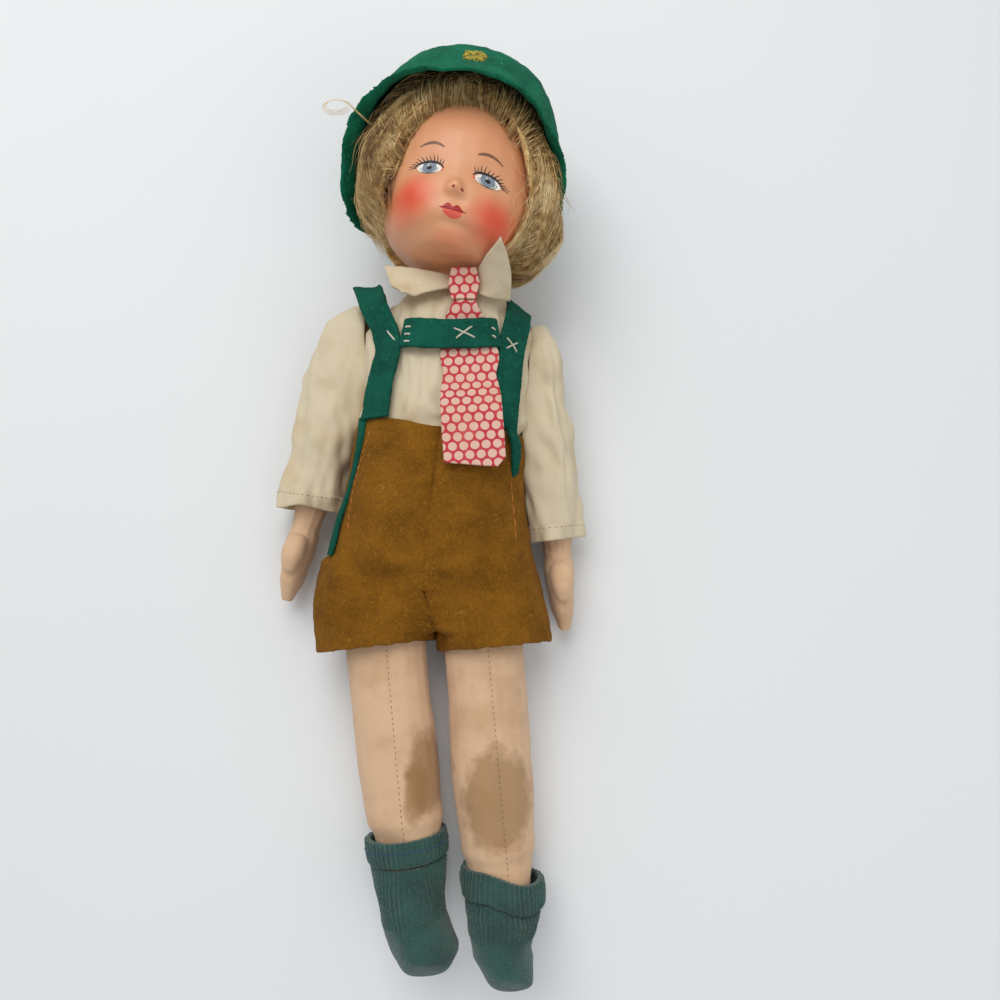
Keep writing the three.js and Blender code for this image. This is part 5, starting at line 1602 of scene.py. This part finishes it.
class DOLL_OT_socks(DollPiece, bpy.types.Operator):
    """Ribbed knitted socks with a turned cuff"""
    bl_idname = "doll.socks"
    bl_label = "Socks"

    def ribs(self, points, word, count):
        own = in_leg(points, word)
        heel = LEG_LENGTH[word]
        rise = np.interp(-own[:, 1] - heel, (-heel, -13, 0, 7.6, 13.5, 18), (0, 0.4, 5.5, 13.2, 20.5, 25))
        angle = np.arctan2(own[:, 0], own[:, 2] - rise)
        wander = 0.6 * ripple(points, 16, 3)
        outward = np.stack((own[:, 0], np.zeros(len(own)), own[:, 2] - rise), axis=1)
        return np.cos(count * angle + wander), outward @ LEG_TURN[word].T, own

    def execute(self, context):
        depth = sizes().rib_depth / MM
        count = sizes().rib_count
        for word, sign in SIDES:
            top = -SOCK_TOP[word]
            sock = cloth_copy(f"{word}_sock_knit", [f"{word}_sock"], 0.5, 4)
            points, _ = corners(sock)
            rib, outward, own = self.ribs(points, word, count)
            toe = smooth(-own[:, 1] - LEG_LENGTH[word], 5, 15)
            slack = 0.5 * ripple(points, 9, 5 + sign, (1, 1.5, 1)) + toe * 0.5 * ripple(points, 2.6, 8)
            push(sock, depth * rib * (1 - 0.7 * toe) + slack + 0.2, outward)
            soften(sock, toe, 140)
            self.settle(sock, own, word, smooth(own[:, 1], top - 24, top - 6))
            dress(sock, finish("knit"), f"{word}_leg", [f"{word}_sock"])
            cuff = cloth_copy(f"{word}_sock_cuff_knit", [f"{word}_sock_cuff"], 0.45, 4)
            points, _ = corners(cuff)
            rib, outward, own = self.ribs(points, word, count)
            roll = 0.9 * bell(own[:, 1], top - 5, 4) + 0.7 * ripple(points, 7, 4)
            if word == "right":
                roll = 0.25 * roll - 1.4 * (1 - smooth(own[:, 1], top - 12, top - 6))
            push(cuff, depth * rib + roll + 0.3, outward)
            self.settle(cuff, own, word, 1.0)
            dress(cuff, finish("knit"), f"{word}_leg", [f"{word}_sock_cuff"])
            if word == "right":
                self.line(cuff, word)
        return {"FINISHED"}

    def settle(self, knit, own, word, share):
        """Leans a sock's piece with its foot, and tilts it by a share where it has slipped."""
        points, _ = corners(knit)
        points[:, 0] += foot_lean(own, word)
        points[:, 1] -= self.tilt(own, word) * share
        place(knit, points)

    def tilt(self, own, word):
        """How far the rolled cuff has slipped down on its outer side."""
        return 6.5 * smooth(own[:, 0], -8, 12) if word == "left" else np.zeros(len(own))

    def line(self, cuff, word):
        """Blue yarn knitted once round the cuff."""
        middle = HIPS[word] + LEG_TURN[word] @ np.array((0, -SOCK_TOP[word] - 3.5, 0))
        marks = ((0, 0.08), (0.35, 0.08), (0.7, 0.08))
        form = bmesh.new()
        stitch_round(form, tree_of(cuff), LEG_TURN[word], lambda angle: middle, 60, marks, 0.3)
        piece = new_piece("sock_cuff_line", form)
        return dress(piece, finish("blue_yarn"), f"{word}_leg")


class DOLL_OT_stage(DollPiece, bpy.types.Operator):
    """Pale floor, soft light from above and the camera"""
    bl_idname = "doll.stage"
    bl_label = "Stage"

    def execute(self, context):
        scene = context.scene
        scene.view_settings.view_transform = "Standard"
        deselect()
        bpy.ops.mesh.primitive_grid_add(x_subdivisions=4, y_subdivisions=4, size=6, location=(0, 0, -0.0002))
        floor = context.object
        floor.name = "floor"
        material, tree, shader = start_material("pale_floor", 0.9)
        grain = speckle(tree, where_on(tree), 0.4)
        colour_in(tree, shader, mix(tree, grain, tone(226, 227, 226), tone(232, 233, 232)))
        floor.data.materials.append(material)
        world = scene.world or bpy.data.worlds.new("studio")
        scene.world = world
        world.use_nodes = True
        world.node_tree.nodes["Background"].inputs["Color"].default_value = (0.92, 0.95, 1.0, 1)
        world.node_tree.nodes["Background"].inputs["Strength"].default_value = 0.5
        lamps = (("overhead", (-0.25, 0.55, 0.95), 0.9, 7.4), ("fill", (0.5, -0.5, 0.9), 0.9, 2.4))
        for name, at, size, power in lamps:
            light = bpy.data.lights.new(name, "AREA")
            light.energy = power
            light.size = size
            lamp = bpy.data.objects.new(name, light)
            lamp.location = at
            lamp.rotation_euler = (-Vector(at)).to_track_quat("-Z", "Y").to_euler()
            scene.collection.objects.link(lamp)
        lens = bpy.data.cameras.new("camera")
        lens.sensor_width = 36
        lens.lens = 27.04
        lens.clip_start = 0.01
        camera = bpy.data.objects.new("camera", lens)
        camera.location = (0.025, -0.0683, 0.318)
        camera.rotation_euler = (math.radians(12), 0, 0)
        scene.collection.objects.link(camera)
        scene.camera = camera
        return {"FINISHED"}


STEPS = ("body", "head", "hat", "hair", "shirt", "tie", "braces", "shorts", "socks", "stage")


class DOLL_PT_panel(bpy.types.Panel):
    """Lists the doll's colours, sizes and pieces"""
    bl_idname = "DOLL_PT_panel"
    bl_label = "Cloth doll"
    bl_space_type = "VIEW_3D"
    bl_region_type = "UI"
    bl_category = "Doll"

    def draw(self, context):
        for group_name in ("doll_colours", "doll_sizes"):
            values = getattr(context.scene, group_name)
            box = self.layout.box()
            for key in values.__annotations__:
                box.prop(values, key)
        for step in STEPS:
            self.layout.operator(f"doll.{step}")


CLASSES = (
    DollColours, DollSizes, DOLL_OT_body, DOLL_OT_head, DOLL_OT_hair, DOLL_OT_hat, DOLL_OT_shirt, DOLL_OT_tie,
    DOLL_OT_braces, DOLL_OT_shorts, DOLL_OT_socks, DOLL_OT_stage, DOLL_PT_panel,
)


def register():
    for cls in CLASSES:
        bpy.utils.register_class(cls)
    bpy.types.Scene.doll_colours = bpy.props.PointerProperty(type=DollColours)
    bpy.types.Scene.doll_sizes = bpy.props.PointerProperty(type=DollSizes)


def unregister():
    del bpy.types.Scene.doll_sizes
    del bpy.types.Scene.doll_colours
    for cls in reversed(CLASSES):
        bpy.utils.unregister_class(cls)


def main():
    register()
    for step in STEPS:
        getattr(bpy.ops.doll, step)()


if __name__ == "__main__":
    main()
